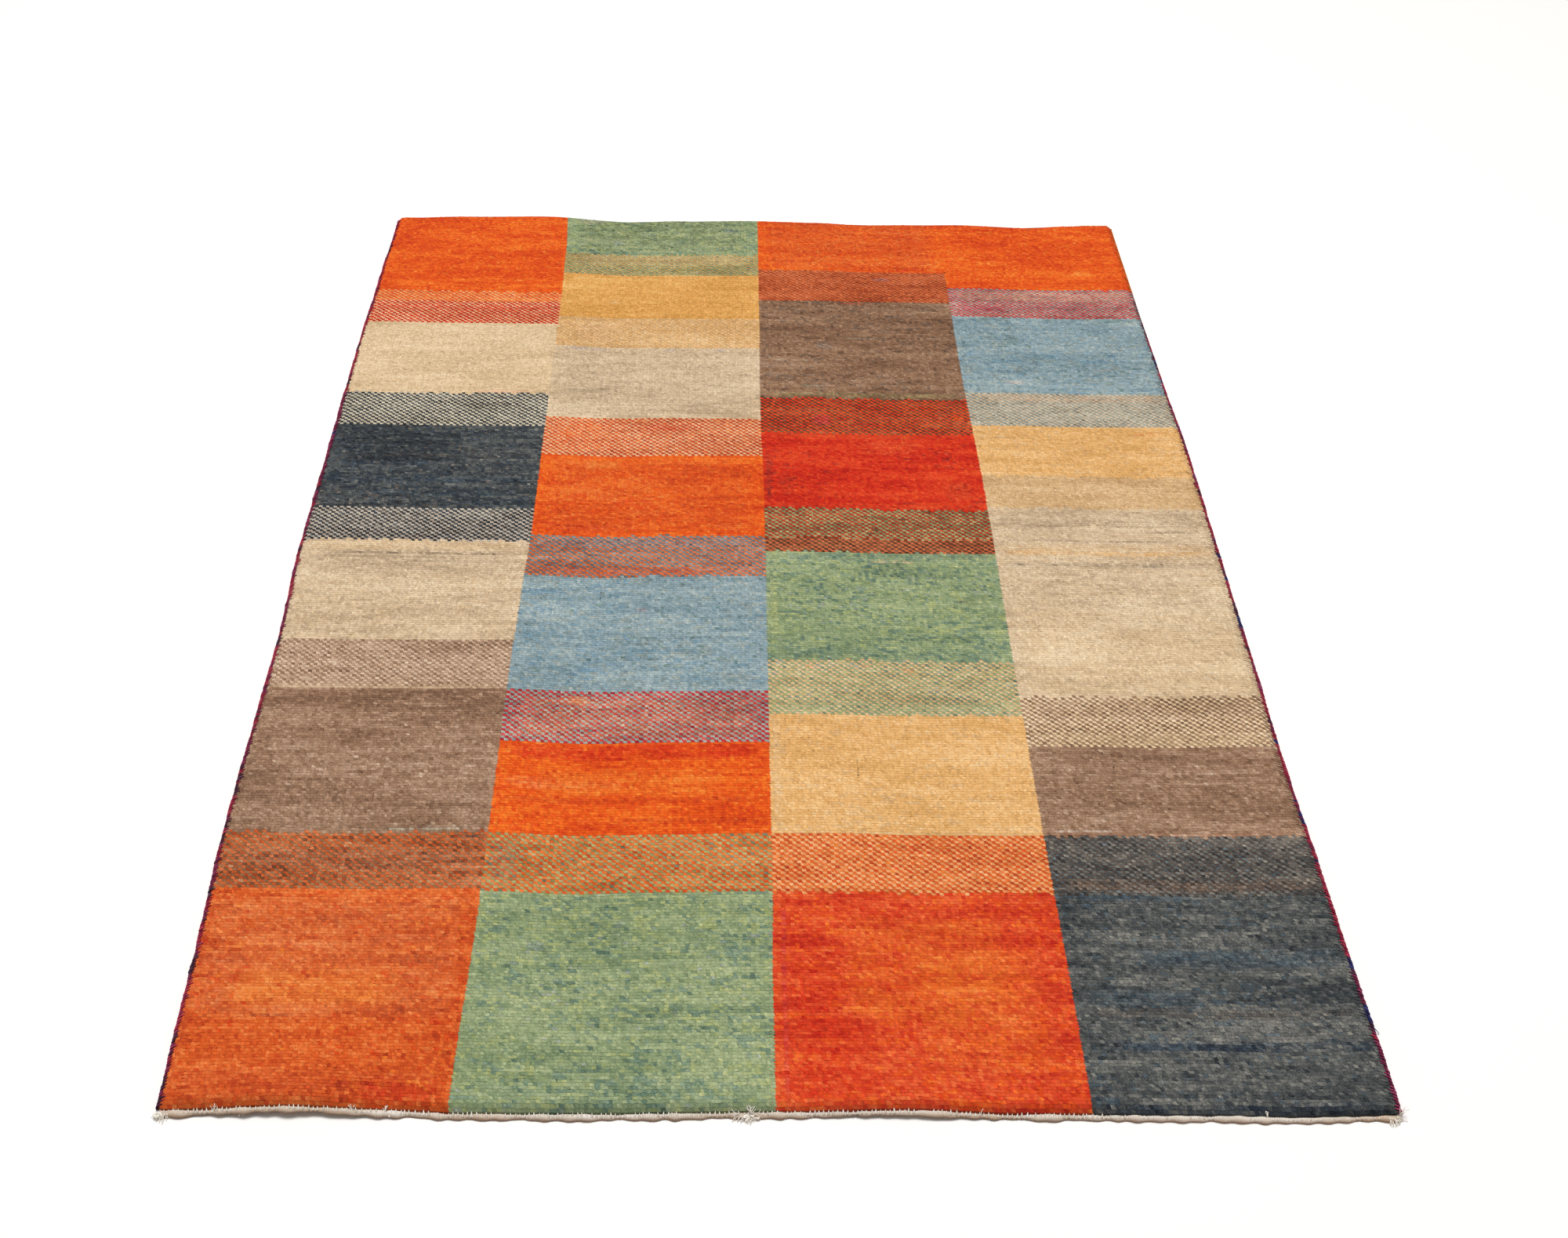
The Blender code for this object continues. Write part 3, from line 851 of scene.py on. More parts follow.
def strip_map(count, others):
    """The bake map of a strip: its rows in a few folds side by side, the rest in a margin."""
    used = 0.98
    gap = 0.004
    fold_rows = ROWS // BAKE_FOLDS
    riser_share = 0.15

    def place(row, knot, within):
        fold = row // fold_rows
        u = (fold + gap * 2 + knot / count * (1 - gap * 4)) / BAKE_FOLDS
        v = (row % fold_rows + within) / fold_rows
        return np.stack([u * used, 0.005 + 0.99 * v], axis=-1)

    row, knot = np.indices((ROWS, count))
    near_left = place(row, knot, riser_share)
    near_right = place(row, knot + 1, riser_share)
    far_left = place(row, knot, 1.0)
    far_right = place(row, knot + 1, 1.0)
    tip = place(row, knot + 0.5, 0.55)
    sides = (
        (near_left, near_right),
        (near_right, far_right),
        (far_right, far_left),
        (far_left, near_left),
    )
    tufts = np.stack([np.stack([a, b, tip], axis=2) for a, b in sides], axis=2)
    row, knot = np.indices((ROWS - 1, count))
    row = row + 1
    risers = np.stack(
        [
            place(row, knot, 0.0),
            place(row, knot + 1, 0.0),
            place(row, knot + 1, riser_share),
            place(row, knot, riser_share),
        ],
        axis=2,
    )
    rest = sum(others)
    margin = np.column_stack([np.full(rest, 0.99), np.linspace(0.01, 0.99, rest)])
    return np.concatenate([tufts.reshape(-1, 2), risers.reshape(-1, 2), margin])


# ---------------------------------------------------------------------------------------------
# The foundation and the back of the knots
# ---------------------------------------------------------------------------------------------

FOUNDATION_INSET = 0.0004


def foundation(stops, colours, material):
    """The woven ground as one closed sheet, with the backs of the knots row by row below.

    stops are the knots at which its lines run lengthwise. Each face below carries the mean
    colour of its even knots and of its odd ones.
    """
    inset = np.clip(-FIELD_HALF_WIDTH + KNOT_PITCH * np.array(stops, float), *INSIDE_ACROSS)
    rows = np.clip(-FIELD_HALF_LENGTH + ROW_PITCH * np.arange(ROWS + 1), *INSIDE_ALONG)
    plan_x, plan_y = np.meshgrid(inset, rows)
    x, y = field_plan(plan_x, plan_y)
    low = underside(plan_x, plan_y)
    points = np.concatenate(
        [np.stack([x, y, low + lift], axis=-1).reshape(-1, 3) for lift in (0.0, FOUNDATION)]
    )
    number = np.arange(x.size).reshape(x.shape)
    quads = np.stack([number[:-1, :-1], number[1:, :-1], number[1:, 1:], number[:-1, 1:]], axis=-1)
    below = quads.reshape(-1, 4)
    over = (quads + x.size).reshape(-1, 4)[:, ::-1]
    rim = np.concatenate([number[0, :-1], number[:-1, -1], number[-1, :0:-1], number[:0:-1, 0]])
    rim_above = rim + x.size
    walls = np.stack([rim, np.roll(rim, -1), np.roll(rim_above, -1), rim_above], axis=-1)
    even, odd = [], []
    for start, end in zip(stops, stops[1:]):
        knots = np.arange(start, end)
        even.append(colours[:, knots[knots % 2 == 0]].mean(axis=1))
        odd.append(colours[:, knots[knots % 2 == 1]].mean(axis=1))
    pair = [across_strips(np.stack(side, axis=1)) for side in (even, odd)]
    plain = plain_dye("beige")
    rest = 4 * (len(over) + len(walls))
    layers = [np.concatenate([side, np.tile(plain, (rest, 1))]) for side in pair]

    row, strip = np.indices((ROWS, len(stops) - 1))
    left, right = np.array(stops)[:-1][strip], np.array(stops)[1:][strip]
    knot_map = np.stack(
        [
            np.stack([left, row], axis=-1),
            np.stack([left, row + 1], axis=-1),
            np.stack([right, row + 1], axis=-1),
            np.stack([right, row], axis=-1),
        ],
        axis=2,
    ).reshape(-1, 2)
    knot_map = np.concatenate([knot_map, np.zeros((rest, 2))])
    bake_map = knot_map / (KNOTS / 0.97, ROWS / 0.99)
    bake_map[-rest:] = np.column_stack([np.full(rest, 0.985), np.linspace(0.01, 0.99, rest)])
    obj = new_piece("foundation", points, [below, over, walls], material, layers[0], bake_map, False)
    add_colours(obj, "odd_dye", layers[1])
    layer = obj.data.uv_layers.new(name="knots")
    layer.data.foreach_set("uv", np.ascontiguousarray(knot_map, np.float32).ravel())
    return obj


def across_strips(colours):
    """Colours of the corners of the faces below, running evenly from strip to strip of a column."""
    left = colours.copy()
    right = colours.copy()
    between = (colours[:, :-1] + colours[:, 1:]) / 2
    inner = np.arange(1, colours.shape[1]) % STRIPS_PER_COLUMN > 0
    left[:, 1:][:, inner] = between[:, inner]
    right[:, :-1][:, inner] = between[:, inner]
    return np.stack([left, left, right, right], axis=2).reshape(-1, 4)


INSIDE_ACROSS = (-FIELD_HALF_WIDTH + FOUNDATION_INSET, FIELD_HALF_WIDTH - FOUNDATION_INSET)
INSIDE_ALONG = (-FIELD_HALF_LENGTH + FOUNDATION_INSET, FIELD_HALF_LENGTH - FOUNDATION_INSET)

# ---------------------------------------------------------------------------------------------
# Threads, selvedges and warp end
# ---------------------------------------------------------------------------------------------


def threads(paths, aside, widths, heights, sides=6):
    """Points and face groups of closed threads along paths, as wide as given along aside.

    paths is threads by points by 3, and widths and heights give each point of each thread.
    Where a thread reaches the floor, it lies flat on it.
    """
    ahead = np.gradient(paths, axis=1)
    ahead /= np.linalg.norm(ahead, axis=-1, keepdims=True)
    aside = aside - ahead * (aside * ahead).sum(-1, keepdims=True)
    aside /= np.linalg.norm(aside, axis=-1, keepdims=True)
    up = np.cross(ahead, aside)
    angles = 2 * np.pi * np.arange(sides) / sides
    across = aside[:, :, None] * np.cos(angles)[None, None, :, None] * widths[:, :, None, None] / 2
    over = up[:, :, None] * np.sin(angles)[None, None, :, None] * heights[:, :, None, None] / 2
    points = paths[:, :, None] + across + over
    points[..., 2] = np.maximum(points[..., 2], 0.0)
    many, steps = paths.shape[:2]
    number = np.arange(many * steps * sides).reshape(many, steps, sides)
    turned = np.roll(number, -1, axis=2)
    walls = np.stack([number[:, :-1], turned[:, :-1], turned[:, 1:], number[:, 1:]], axis=-1)
    caps = np.concatenate([number[:, 0, ::-1], number[:, -1]])
    return points, [walls.reshape(-1, 4), caps]


def thread_shades(shape, tip_shade, side_shade, sides=6):
    """Painted shade of each point of each thread: darker at its ends, its flanks and its underside."""
    many, steps = shape
    along = np.sin(np.pi * (np.arange(steps) + 0.5) / steps)
    lengthwise = tip_shade + (1 - tip_shade) * along
    round_it = side_shade + (1 - side_shade) * np.abs(np.sin(2 * np.pi * np.arange(sides) / sides))
    return np.broadcast_to(lengthwise[None, :, None] * round_it[None, None, :], (many, steps, sides))


STITCH_PITCH = 0.0037
STITCH_WIDTH = 0.0034
STITCH_THICKNESS = 0.0013
STITCH_SLANT = 0.0012
CORE_SCALE = 0.90
CORE_SHADE = 0.75  # painted shade: how light the cord between the stitches is drawn
SELVEDGE_SECTION = (
    (0.00, 0.00),
    (0.00, 0.82),
    (0.28, 1.00),
    (0.68, 0.95),
    (1.00, 0.58),
    (0.96, 0.20),
    (0.70, 0.00),
)
# The path of a stitch over the selvedge: out from the field's edge and up, in metres. The
# first point lies further in by the stitch's own reach.
STITCH_PATH = (
    (0.0000, 0.0076),
    (0.0004, 0.0074),
    (0.0018, 0.0062),
    (0.0034, 0.0052),
    (0.0044, 0.0034),
    (0.0043, 0.0013),
    (0.0030, 0.0004),
)
# How full the selvedge of each side is: place along, share of its width
FULLNESS = {
    -1: ((-0.860, 0.80), (0.250, 0.80), (0.600, 0.65), (0.860, 0.45)),
    1: ((-0.860, 0.95), (0.250, 0.80), (0.480, 0.45), (0.640, 0.15), (0.860, 0.12)),
}
SELVEDGE_YARNS = {
    -1: {"crimson": 0.42, "magenta": 0.30, "plum": 0.28},
    1: {"crimson": 0.52, "magenta": 0.32, "plum": 0.10, "ink": 0.06},
}
SELVEDGE_SWELL = 0.22  # how unevenly full it is along its length
SELVEDGE_RUN = 2.2  # stitches to a run of one yarn, on average
# Runs of one yarn that stand out: side, from and to along, dye
SELVEDGE_RUNS = (
    (-1, 0.130, 0.340, "magenta"),
    (-1, 0.236, 0.244, "ink"),
    (-1, -0.865, -0.835, "plum"),
    (1, 0.645, 0.865, "amber"),
    (1, 0.560, 0.645, "mauve"),
    (1, -0.152, -0.130, "ink"),
    (1, -0.415, -0.335, "crimson"),
    (1, -0.356, -0.348, "ink"),
    (1, -0.472, -0.464, "ink"),
    (1, -0.660, -0.600, "crimson"),
    (1, -0.682, -0.668, "ink"),
    (1, -0.725, -0.690, "magenta"),
    (1, -0.748, -0.727, "ink"),
    (1, -0.850, -0.780, "magenta"),
)
# Loose ends of navy yarn on the right selvedge: place along, length
LOOSE_ENDS = ((-0.757, 0.0060), (-0.743, 0.0040), (-0.668, 0.0035))
LOOSE_THICKNESS = 0.0011


def selvedge(rng, side, name, materials):
    """The overcast cord down one long side: its core, and its stitches as a second piece."""
    nearest = CORNER_RADIUS["near"] - FIELD_HALF_LENGTH
    farthest = FIELD_HALF_LENGTH - CORNER_RADIUS["far"]
    count = int((farthest - nearest) / STITCH_PITCH)
    y = np.linspace(nearest, farthest, count)
    names = sorted(DYES)
    yarns = SELVEDGE_YARNS[side]
    which = np.empty(count, int)
    current = 0
    for k in range(count):
        if k == 0 or rng.random() < 1 / SELVEDGE_RUN:
            current = names.index(rng.choice(list(yarns), p=list(yarns.values())))
        which[k] = current
    wall, along = field_plan(np.full(count, side * FIELD_HALF_WIDTH), y)
    for at_side, start, end, dye in SELVEDGE_RUNS:
        if at_side == side:
            which[(along > start) & (along < end)] = names.index(dye)
    floor = underside(side * FIELD_HALF_WIDTH, y)
    tone = np.clip(rng.normal(0, 0.6, count), -1, 1)
    colours = dyed(names, which, tone)
    full = smoothed(FULLNESS[side], along)
    full = (full * (1 + SELVEDGE_SWELL * value_noise(rng, wall, along, 0.5, 0.020)))[:, None]

    outs, ups = np.array(SELVEDGE_SECTION).T
    section_x = wall[:, None] + side * (GAP + outs * full * SELVEDGE_WIDTH * CORE_SCALE * 0.84)
    section_z = floor[:, None] + ups * SELVEDGE_HEIGHT * CORE_SCALE
    section_y = np.broadcast_to(along[:, None], section_x.shape)
    points = np.stack([section_x, section_y, section_z], axis=-1)
    number = np.arange(section_x.size).reshape(section_x.shape)
    turned = np.roll(number, -1, axis=1)
    walls = np.stack([number[:-1], number[1:], turned[1:], turned[:-1]], axis=-1).reshape(-1, 4)
    ends = np.stack([number[0], number[-1][::-1]])
    groups = [walls, ends] if side > 0 else [walls[:, ::-1], ends[:, ::-1]]
    # painted shade on the cord between and under the stitches
    by_point = np.repeat(colours * CORE_SHADE, len(outs), axis=0)
    core = new_piece(
        f"{name}_core", points.reshape(-1, 3), groups, materials["selvedge"], by_corner(by_point, groups)
    )

    reach = rng.uniform(0.0, 0.0034, count) + 0.0010 * (rng.random(count) < 0.3)
    outs, ups = np.array(STITCH_PATH).T
    out = np.broadcast_to(outs, (count, len(outs))).copy()
    up = np.broadcast_to(ups, (count, len(ups))).copy()
    out[:, 0] -= reach + 0.0006
    up[:, 0] += 0.35 * reach
    up += rng.uniform(-0.0002, 0.0002, (count, 1))
    out[:, 2:] += rng.uniform(-0.0004, 0.0004, (count, 1))
    out[:, 2:] *= full
    slant = STITCH_SLANT * np.linspace(0.5, -0.5, len(outs))
    stray = rng.uniform(-0.0004, 0.0004, (count, 1))
    path = np.stack(
        [wall[:, None] + side * out, along[:, None] + slant + stray, floor[:, None] + up], axis=-1
    )
    taper = np.array([0.35, 0.85, 1.0, 1.0, 1.0, 0.9, 0.6])
    widths = STITCH_WIDTH * taper * rng.uniform(0.8, 1.05, (count, 1))
    heights = STITCH_THICKNESS * taper * rng.uniform(0.85, 1.15, (count, 1))
    points, groups = threads(path, np.array([0.0, 1.0, 0.0]), widths, heights)
    # painted shade: the stitches are drawn darker at their ends and flanks
    shades = thread_shades(path.shape[:2], 0.75, 0.62)
    by_point = (colours[:, None, None] * shades[..., None]).reshape(-1, 4)
    if side < 0:
        groups = [group[:, ::-1] for group in groups]
    stitches = new_piece(
        f"{name}_stitches", points.reshape(-1, 3), groups, materials["selvedge"], by_corner(by_point, groups)
    )
    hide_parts(name)
    if side < 0:
        return [core, stitches]
    places, lengths = np.array(LOOSE_ENDS).T[..., None]
    run = np.linspace(0, 1, 7)[None]
    start = np.interp(places, along, wall) + 0.0025
    sway = 0.35 * lengths * np.sin(3 * run + places * 90)
    path = np.stack([start + run * lengths, places + sway, 0.0052 - 0.0042 * run**1.5 + 0 * sway], axis=-1)
    thickness = LOOSE_THICKNESS * (1.1 - 0.5 * run) * np.ones_like(places)
    points, groups = threads(path, np.array([0.0, 0.3, 1.0]), thickness, thickness, 5)
    by_point = np.tile(plain_dye("ink"), (points[..., 0].size, 1))
    loose = new_piece(
        f"{name}_ends", points.reshape(-1, 3), groups, materials["selvedge"], by_corner(by_point, groups)
    )
    return [core, stitches, loose]


def by_corner(values, groups):
    """Values of points as values of the corners of groups of faces."""
    return values[np.concatenate([group.ravel() for group in groups])]


WARP_END_SECTION = (
    (0.00, 0.00),
    (-0.12, 0.95),
    (0.12, 1.06),
    (0.45, 1.00),
    (0.85, 0.78),
    (1.02, 0.42),
    (0.95, 0.10),
    (0.80, 0.00),
)
RIDGES_PER_KNOT = 2
RIDGE_STEPS = 3
RIDGE_DEPTH = 0.055
WRINKLES = ((0.026, 0.26), (0.009, 0.16))  # length and share of the band's own unevenness
# How full the white teeth over the pile's near edge are: place across, share
TOOTH_SHARES = ((-0.600, 1.0), (0.300, 0.95), (0.340, 0.60), (0.600, 0.45))
TOOTH_WIDTH = 0.0025
# The path of a tooth in metres: back over the field from its edge, and up
TOOTH_PATH = (
    (-0.0030, 0.0030),
    (-0.0022, 0.0047),
    (-0.0014, 0.0061),
    (-0.0004, 0.0072),
    (0.0010, 0.0079),
)
BAND_SCALE = 1.10  # how much fuller the band is than its solid
BAND_UNDER_SHADE = (0.0, 0.0, 0.0, 0.12, 0.55, 0.9, 1.0, 1.0)  # painted shade: how far toward umber the band is drawn round its section, most low on its front
GREYED = (0.28, 0.6)  # how far its cotton leans to fawn: on the whole, and from place to place


def near_edge(x):
    """The near edge of the field at places across: its y and the height of its underside."""
    plan = np.linspace(-FIELD_HALF_WIDTH, FIELD_HALF_WIDTH, 600)
    edge_x, edge_y = field_plan(plan, np.full(plan.shape, -FIELD_HALF_LENGTH))
    lift = underside(plan, -FIELD_HALF_LENGTH)
    return np.interp(x, edge_x, edge_y), np.interp(x, edge_x, lift)


def cotton(tone):
    return dyed(["cotton"], np.zeros(np.shape(tone), int), np.clip(tone, -1, 1))


def warp_end(rng, materials):
    """The white end of the warps: its ribbed band, its teeth over the pile and its frays."""
    plan = np.array([-FIELD_HALF_WIDTH, FIELD_HALF_WIDTH])
    (first, last), _ = field_plan(plan, np.full(2, -FIELD_HALF_LENGTH))
    x = np.linspace(first, last, KNOTS * RIDGES_PER_KNOT * RIDGE_STEPS + 1)
    y, floor = near_edge(x)
    phase = np.arange(len(x)) * 2 * np.pi / RIDGE_STEPS
    ridge = 1 + RIDGE_DEPTH * np.cos(phase) + rng.normal(0, 0.012, len(x))
    for length, share in WRINKLES:
        ridge += share * value_noise(rng, x, y, length, 0.5)
    depth = BAND_SCALE * WARP_END_DEPTH * lumps(x) * ridge
    height = BAND_SCALE * WARP_END_HEIGHT * lumps(x + LUMP_LAG) * ridge
    outs, ups = np.array(WARP_END_SECTION).T
    points = np.stack(
        [
            np.broadcast_to(x[:, None], (len(x), len(outs))),
            (y - GAP)[:, None] - outs * depth[:, None],
            floor[:, None] + ups * height[:, None],
        ],
        axis=-1,
    )
    number = np.arange(points[..., 0].size).reshape(points.shape[:2])
    turned = np.roll(number, -1, axis=1)
    walls = np.stack([number[:-1], turned[:-1], turned[1:], number[1:]], axis=-1).reshape(-1, 4)
    groups = [walls, np.stack([number[0][::-1], number[-1]])]
    # painted shade: the cotton is drawn darker in the grooves between the ridges and lighter on their crests; the
    # noise is its own random tone
    tone = 0.35 * np.cos(phase) + value_noise(rng, x, y, 0.02, 0.5) * 0.5
    grey = np.clip(GREYED[0] + GREYED[1] * value_noise(rng, x, y, 0.08, 0.5), 0, 1)[:, None]
    unshaded = (cotton(tone) * (1 - grey) + plain_dye("fawn") * grey)[:, None]
    # painted shade: the lower front of the band is drawn toward umber
    by_point = unshaded + (plain_dye("umber") - unshaded) * np.array(BAND_UNDER_SHADE)[:, None]
    by_point = by_point.reshape(-1, 4)
    band = new_piece("warp_band", points.reshape(-1, 3), groups, materials["warp"], by_corner(by_point, groups))
    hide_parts("warp_end_near")

    x = np.linspace(first, last, KNOTS + 1)[1:-1]
    x = x + rng.uniform(-0.0006, 0.0006, len(x))
    y, floor = near_edge(x)
    size = smoothed(TOOTH_SHARES, x) * rng.uniform(0.50, 0.85, len(x))
    back, up = np.array(TOOTH_PATH).T
    run = np.linspace(0, 1, len(back))
    lean = rng.uniform(-0.0008, 0.0008, len(x))
    # A small tooth ends sooner on the same path
    reach = run * np.clip(size, 0.3, 1.0)[:, None]
    path = np.stack(
        [
            x[:, None] + lean[:, None] * run,
            y[:, None] + np.interp(reach, run, back),
            floor[:, None] + np.interp(reach, run, up) + rng.uniform(-0.0002, 0.0003, (len(x), 1)),
        ],
        axis=-1,
    )
    taper = np.array([1.15, 1.0, 0.75, 0.45, 0.14])
    widths = TOOTH_WIDTH * taper * (0.6 + 0.4 * size[:, None])
    points, groups = threads(path, np.array([1.0, 0.0, 0.0]), widths, widths * 0.7)
    teeth = cotton_piece("warp_teeth", points, groups, rng.uniform(-0.5, 0.8, len(x)), materials["warp"])
    tufts = [*FRAYED_ENDS, *SMALL_TUFTS]
    frays = [fray(rng, f"warp_fray_{k + 1}", row, materials["warp"]) for k, row in enumerate(tufts)]
    return [band, teeth, wads(rng, materials["warp"]), *frays]


def cotton_piece(name, points, groups, tones, material):
    """A piece of cotton threads, each with its own tone."""
    by_point = np.repeat(cotton(tones), points[0, ..., 0].size, axis=0)
    return new_piece(name, points.reshape(-1, 3), groups, material, by_corner(by_point, groups))


FRAY_POINTS = 9
FRAY_FINER = 3  # fine yarns to each strand of the solid
FRAY_THICKNESS = 0.0009
FRAY_OVER_PILE = 0.0098  # height that a yarn ends at where it lies back over the pile
SMALL_TUFTS = (
    {"at": -0.5350, "strands": 1, "spread": 120, "turn": 160, "length": 0.0042},
    {"at": -0.5090, "strands": 1, "spread": 90, "turn": 30, "length": 0.0045},
    {"at": -0.4050, "strands": 1, "spread": 120, "turn": 190, "length": 0.0040},
    {"at": -0.3740, "strands": 2, "spread": 150, "turn": 170, "length": 0.0048},
    {"at": -0.3620, "strands": 1, "spread": 140, "turn": 0, "length": 0.0045},
    {"at": -0.0280, "strands": 4, "spread": 210, "turn": 180, "length": 0.0075},
    {"at": 0.0280, "strands": 1, "spread": 100, "turn": 0, "length": 0.0045},
    {"at": 0.1920, "strands": 1, "spread": 100, "turn": 180, "length": 0.0050},
    {"at": 0.4690, "strands": 2, "spread": 160, "turn": 180, "length": 0.0050},
    {"at": 0.5970, "strands": 4, "spread": 200, "turn": 90, "length": 0.0095},
)
# Small curls and knots of the turned end: place across, place out from the field's edge,
# radius, thickness of the yarn, turns
WADS = (
    (-0.5870, 0.0058, 0.0040, 0.0034, 1.30),
    (-0.5790, 0.0044, 0.0022, 0.0026, 0.80),
    (-0.3690, 0.0036, 0.0024, 0.0024, 1.00),
    (-0.0330, 0.0050, 0.0030, 0.0028, 1.10),
    (-0.0260, 0.0032, 0.0034, 0.0026, 1.20),
    (-0.0210, 0.0052, 0.0022, 0.0024, 0.90),
    (0.5900, 0.0036, 0.0022, 0.0026, 0.90),
    (0.5975, 0.0044, 0.0030, 0.0024, 1.10),
)
WAD_POINTS = 14


def fray(rng, name, row, material):
    """The frayed yarns at one place on the warp end, over the floor or back over the pile."""
    count = row["strands"] * FRAY_FINER
    share = np.linspace(-0.5, 0.5, count)
    x = row["at"] + share * 0.0021 * (row["strands"] - 1)
    y, floor = near_edge(x)
    heading = np.radians(row["turn"] + row["spread"] * share) + rng.normal(0, 0.25, count)
    length = row["length"] * rng.uniform(0.6, 1.05, count)
    bend = rng.normal(0, 0.9, count)
    along = np.linspace(0, 1, FRAY_POINTS)
    angle = heading[:, None] + bend[:, None] * along**1.5
    step = length[:, None] / (FRAY_POINTS - 1)
    run_x = np.cumsum(np.sin(angle), axis=1) * step
    run_y = -np.cumsum(np.cos(angle), axis=1) * step
    start = rng.uniform(0.0015, 0.0040, (count, 1))
    end = np.where(run_y[:, -1:] > 0.001, FRAY_OVER_PILE, rng.uniform(0.0006, 0.0018, (count, 1)))
    arch = rng.uniform(0.0004, 0.0024, (count, 1))
    lift = start + (end - start) * along**0.7 + arch * np.sin(np.pi * along)
    above = np.where(run_y[:, -1:] > 0.001, 1.0, 1 - along)
    path = np.stack(
        [x[:, None] + run_x, (y - GAP - 0.45 * WARP_END_DEPTH)[:, None] + run_y, floor[:, None] * above + lift],
        axis=-1,
    )
    widths = FRAY_THICKNESS * (1.1 - 0.6 * along) * rng.uniform(0.7, 1.3, (count, 1))
    points, groups = threads(path, np.array([0.3, 0.2, 1.0]), widths, widths, 5)
    return cotton_piece(name, points, groups, rng.uniform(-0.3, 1.0, count), material)


def wads(rng, material):
    """The small curls and knots in the turned end of the warps."""
    at, out, radius, thickness, turns = np.array(WADS).T[..., None]
    run = np.linspace(0, 1, WAD_POINTS)[None]
    y, floor = near_edge(at)
    angle = 2 * np.pi * turns * run + rng.uniform(0, 6, at.shape)
    ring = radius * (1 - 0.6 * run)
    path = np.stack(
        [
            at + ring * np.cos(angle),
            y - out + 0.8 * ring * np.sin(angle),
            floor + thickness * 0.55 + (0.0016 + radius * 0.45) * run + 0.0006 * np.sin(2 * angle),
        ],
        axis=-1,
    )
    widths = thickness * (1 - 0.35 * run) * (1 + 0.12 * np.sin(9 * run + at * 500))
    points, groups = threads(path, np.array([0.1, 0.2, 1.0]), widths, widths, 8)
    return cotton_piece("warp_knots", points, groups, rng.uniform(-0.2, 0.8, len(at)), material)


# ---------------------------------------------------------------------------------------------
# Materials
# ---------------------------------------------------------------------------------------------


GRAIN = 3.4  # strength of the lighter and darker fibres
DARKEST_FIBRE = 0.15  # how light the darkest fibre is to its yarn


class Tree:
    """The nodes of a new material."""

    def __init__(self, name):
        self.material = bpy.data.materials.new(name)
        self.material.use_nodes = True
        self.nodes = self.material.node_tree.nodes
        self.links = self.material.node_tree.links
        self.shader = self.nodes["Principled BSDF"]

    def add(self, kind, settings=None, **inputs):
        node = self.nodes.new(kind)
        for name, value in (settings or {}).items():
            setattr(node, name, value)
        for name, value in inputs.items():
            self.put(node, name.replace("_", " "), value)
        return node

    def put(self, node, name, value):
        socket = node.inputs[int(name[1:])] if name[0] == "i" and name[1:].isdigit() else node.inputs[name]
        if isinstance(value, bpy.types.NodeSocket):
            self.links.new(value, socket)
        else:
            socket.default_value = value

    def math(self, operation, a, b=0.0):
        return self.add("ShaderNodeMath", {"operation": operation}, i0=a, i1=b).outputs[0]

    def finish(self, roughness, sheen):
        self.shader.inputs["Roughness"].default_value = roughness
        self.shader.inputs["Specular IOR Level"].default_value = 0.10
        self.shader.inputs["Sheen Weight"].default_value = sheen
        self.shader.inputs["Sheen Roughness"].default_value = 0.55
        return self.material


def yarn_material(name, roughness=0.92, sheen=0.06, fibre=(620.0, 480.0, 500.0), bump=0.0004):
    """Yarn in the dye of its mesh: lighter and darker fibres, as strong as the dye's grain."""
    tree = Tree(name)
    place = tree.add("ShaderNodeTexCoord").outputs["Object"]
    scaled = tree.add("ShaderNodeMapping", Vector=place, Scale=fibre).outputs["Vector"]
    noise = tree.add("ShaderNodeTexNoise", Vector=scaled, Scale=1.0, Detail=3.0, Roughness=0.65).outputs["Fac"]
    dye = tree.add("ShaderNodeAttribute", {"attribute_name": "dye"})
    swing = tree.math("MULTIPLY", tree.math("SUBTRACT", noise, 0.5), GRAIN)
    lightness = tree.math("ADD", tree.math("MULTIPLY", swing, dye.outputs["Alpha"]), 1.0)
    lightness = tree.math("MAXIMUM", lightness, DARKEST_FIBRE)
    shaded = tree.add(
        "ShaderNodeVectorMath", {"operation": "SCALE"}, i0=dye.outputs["Color"], Scale=lightness
    ).outputs["Vector"]
    tree.put(tree.shader, "Base Color", shaded)
    relief = tree.add("ShaderNodeBump", Height=noise, Strength=0.6, Distance=bump).outputs["Normal"]
    tree.put(tree.shader, "Normal", relief)
    return tree.finish(roughness, sheen)


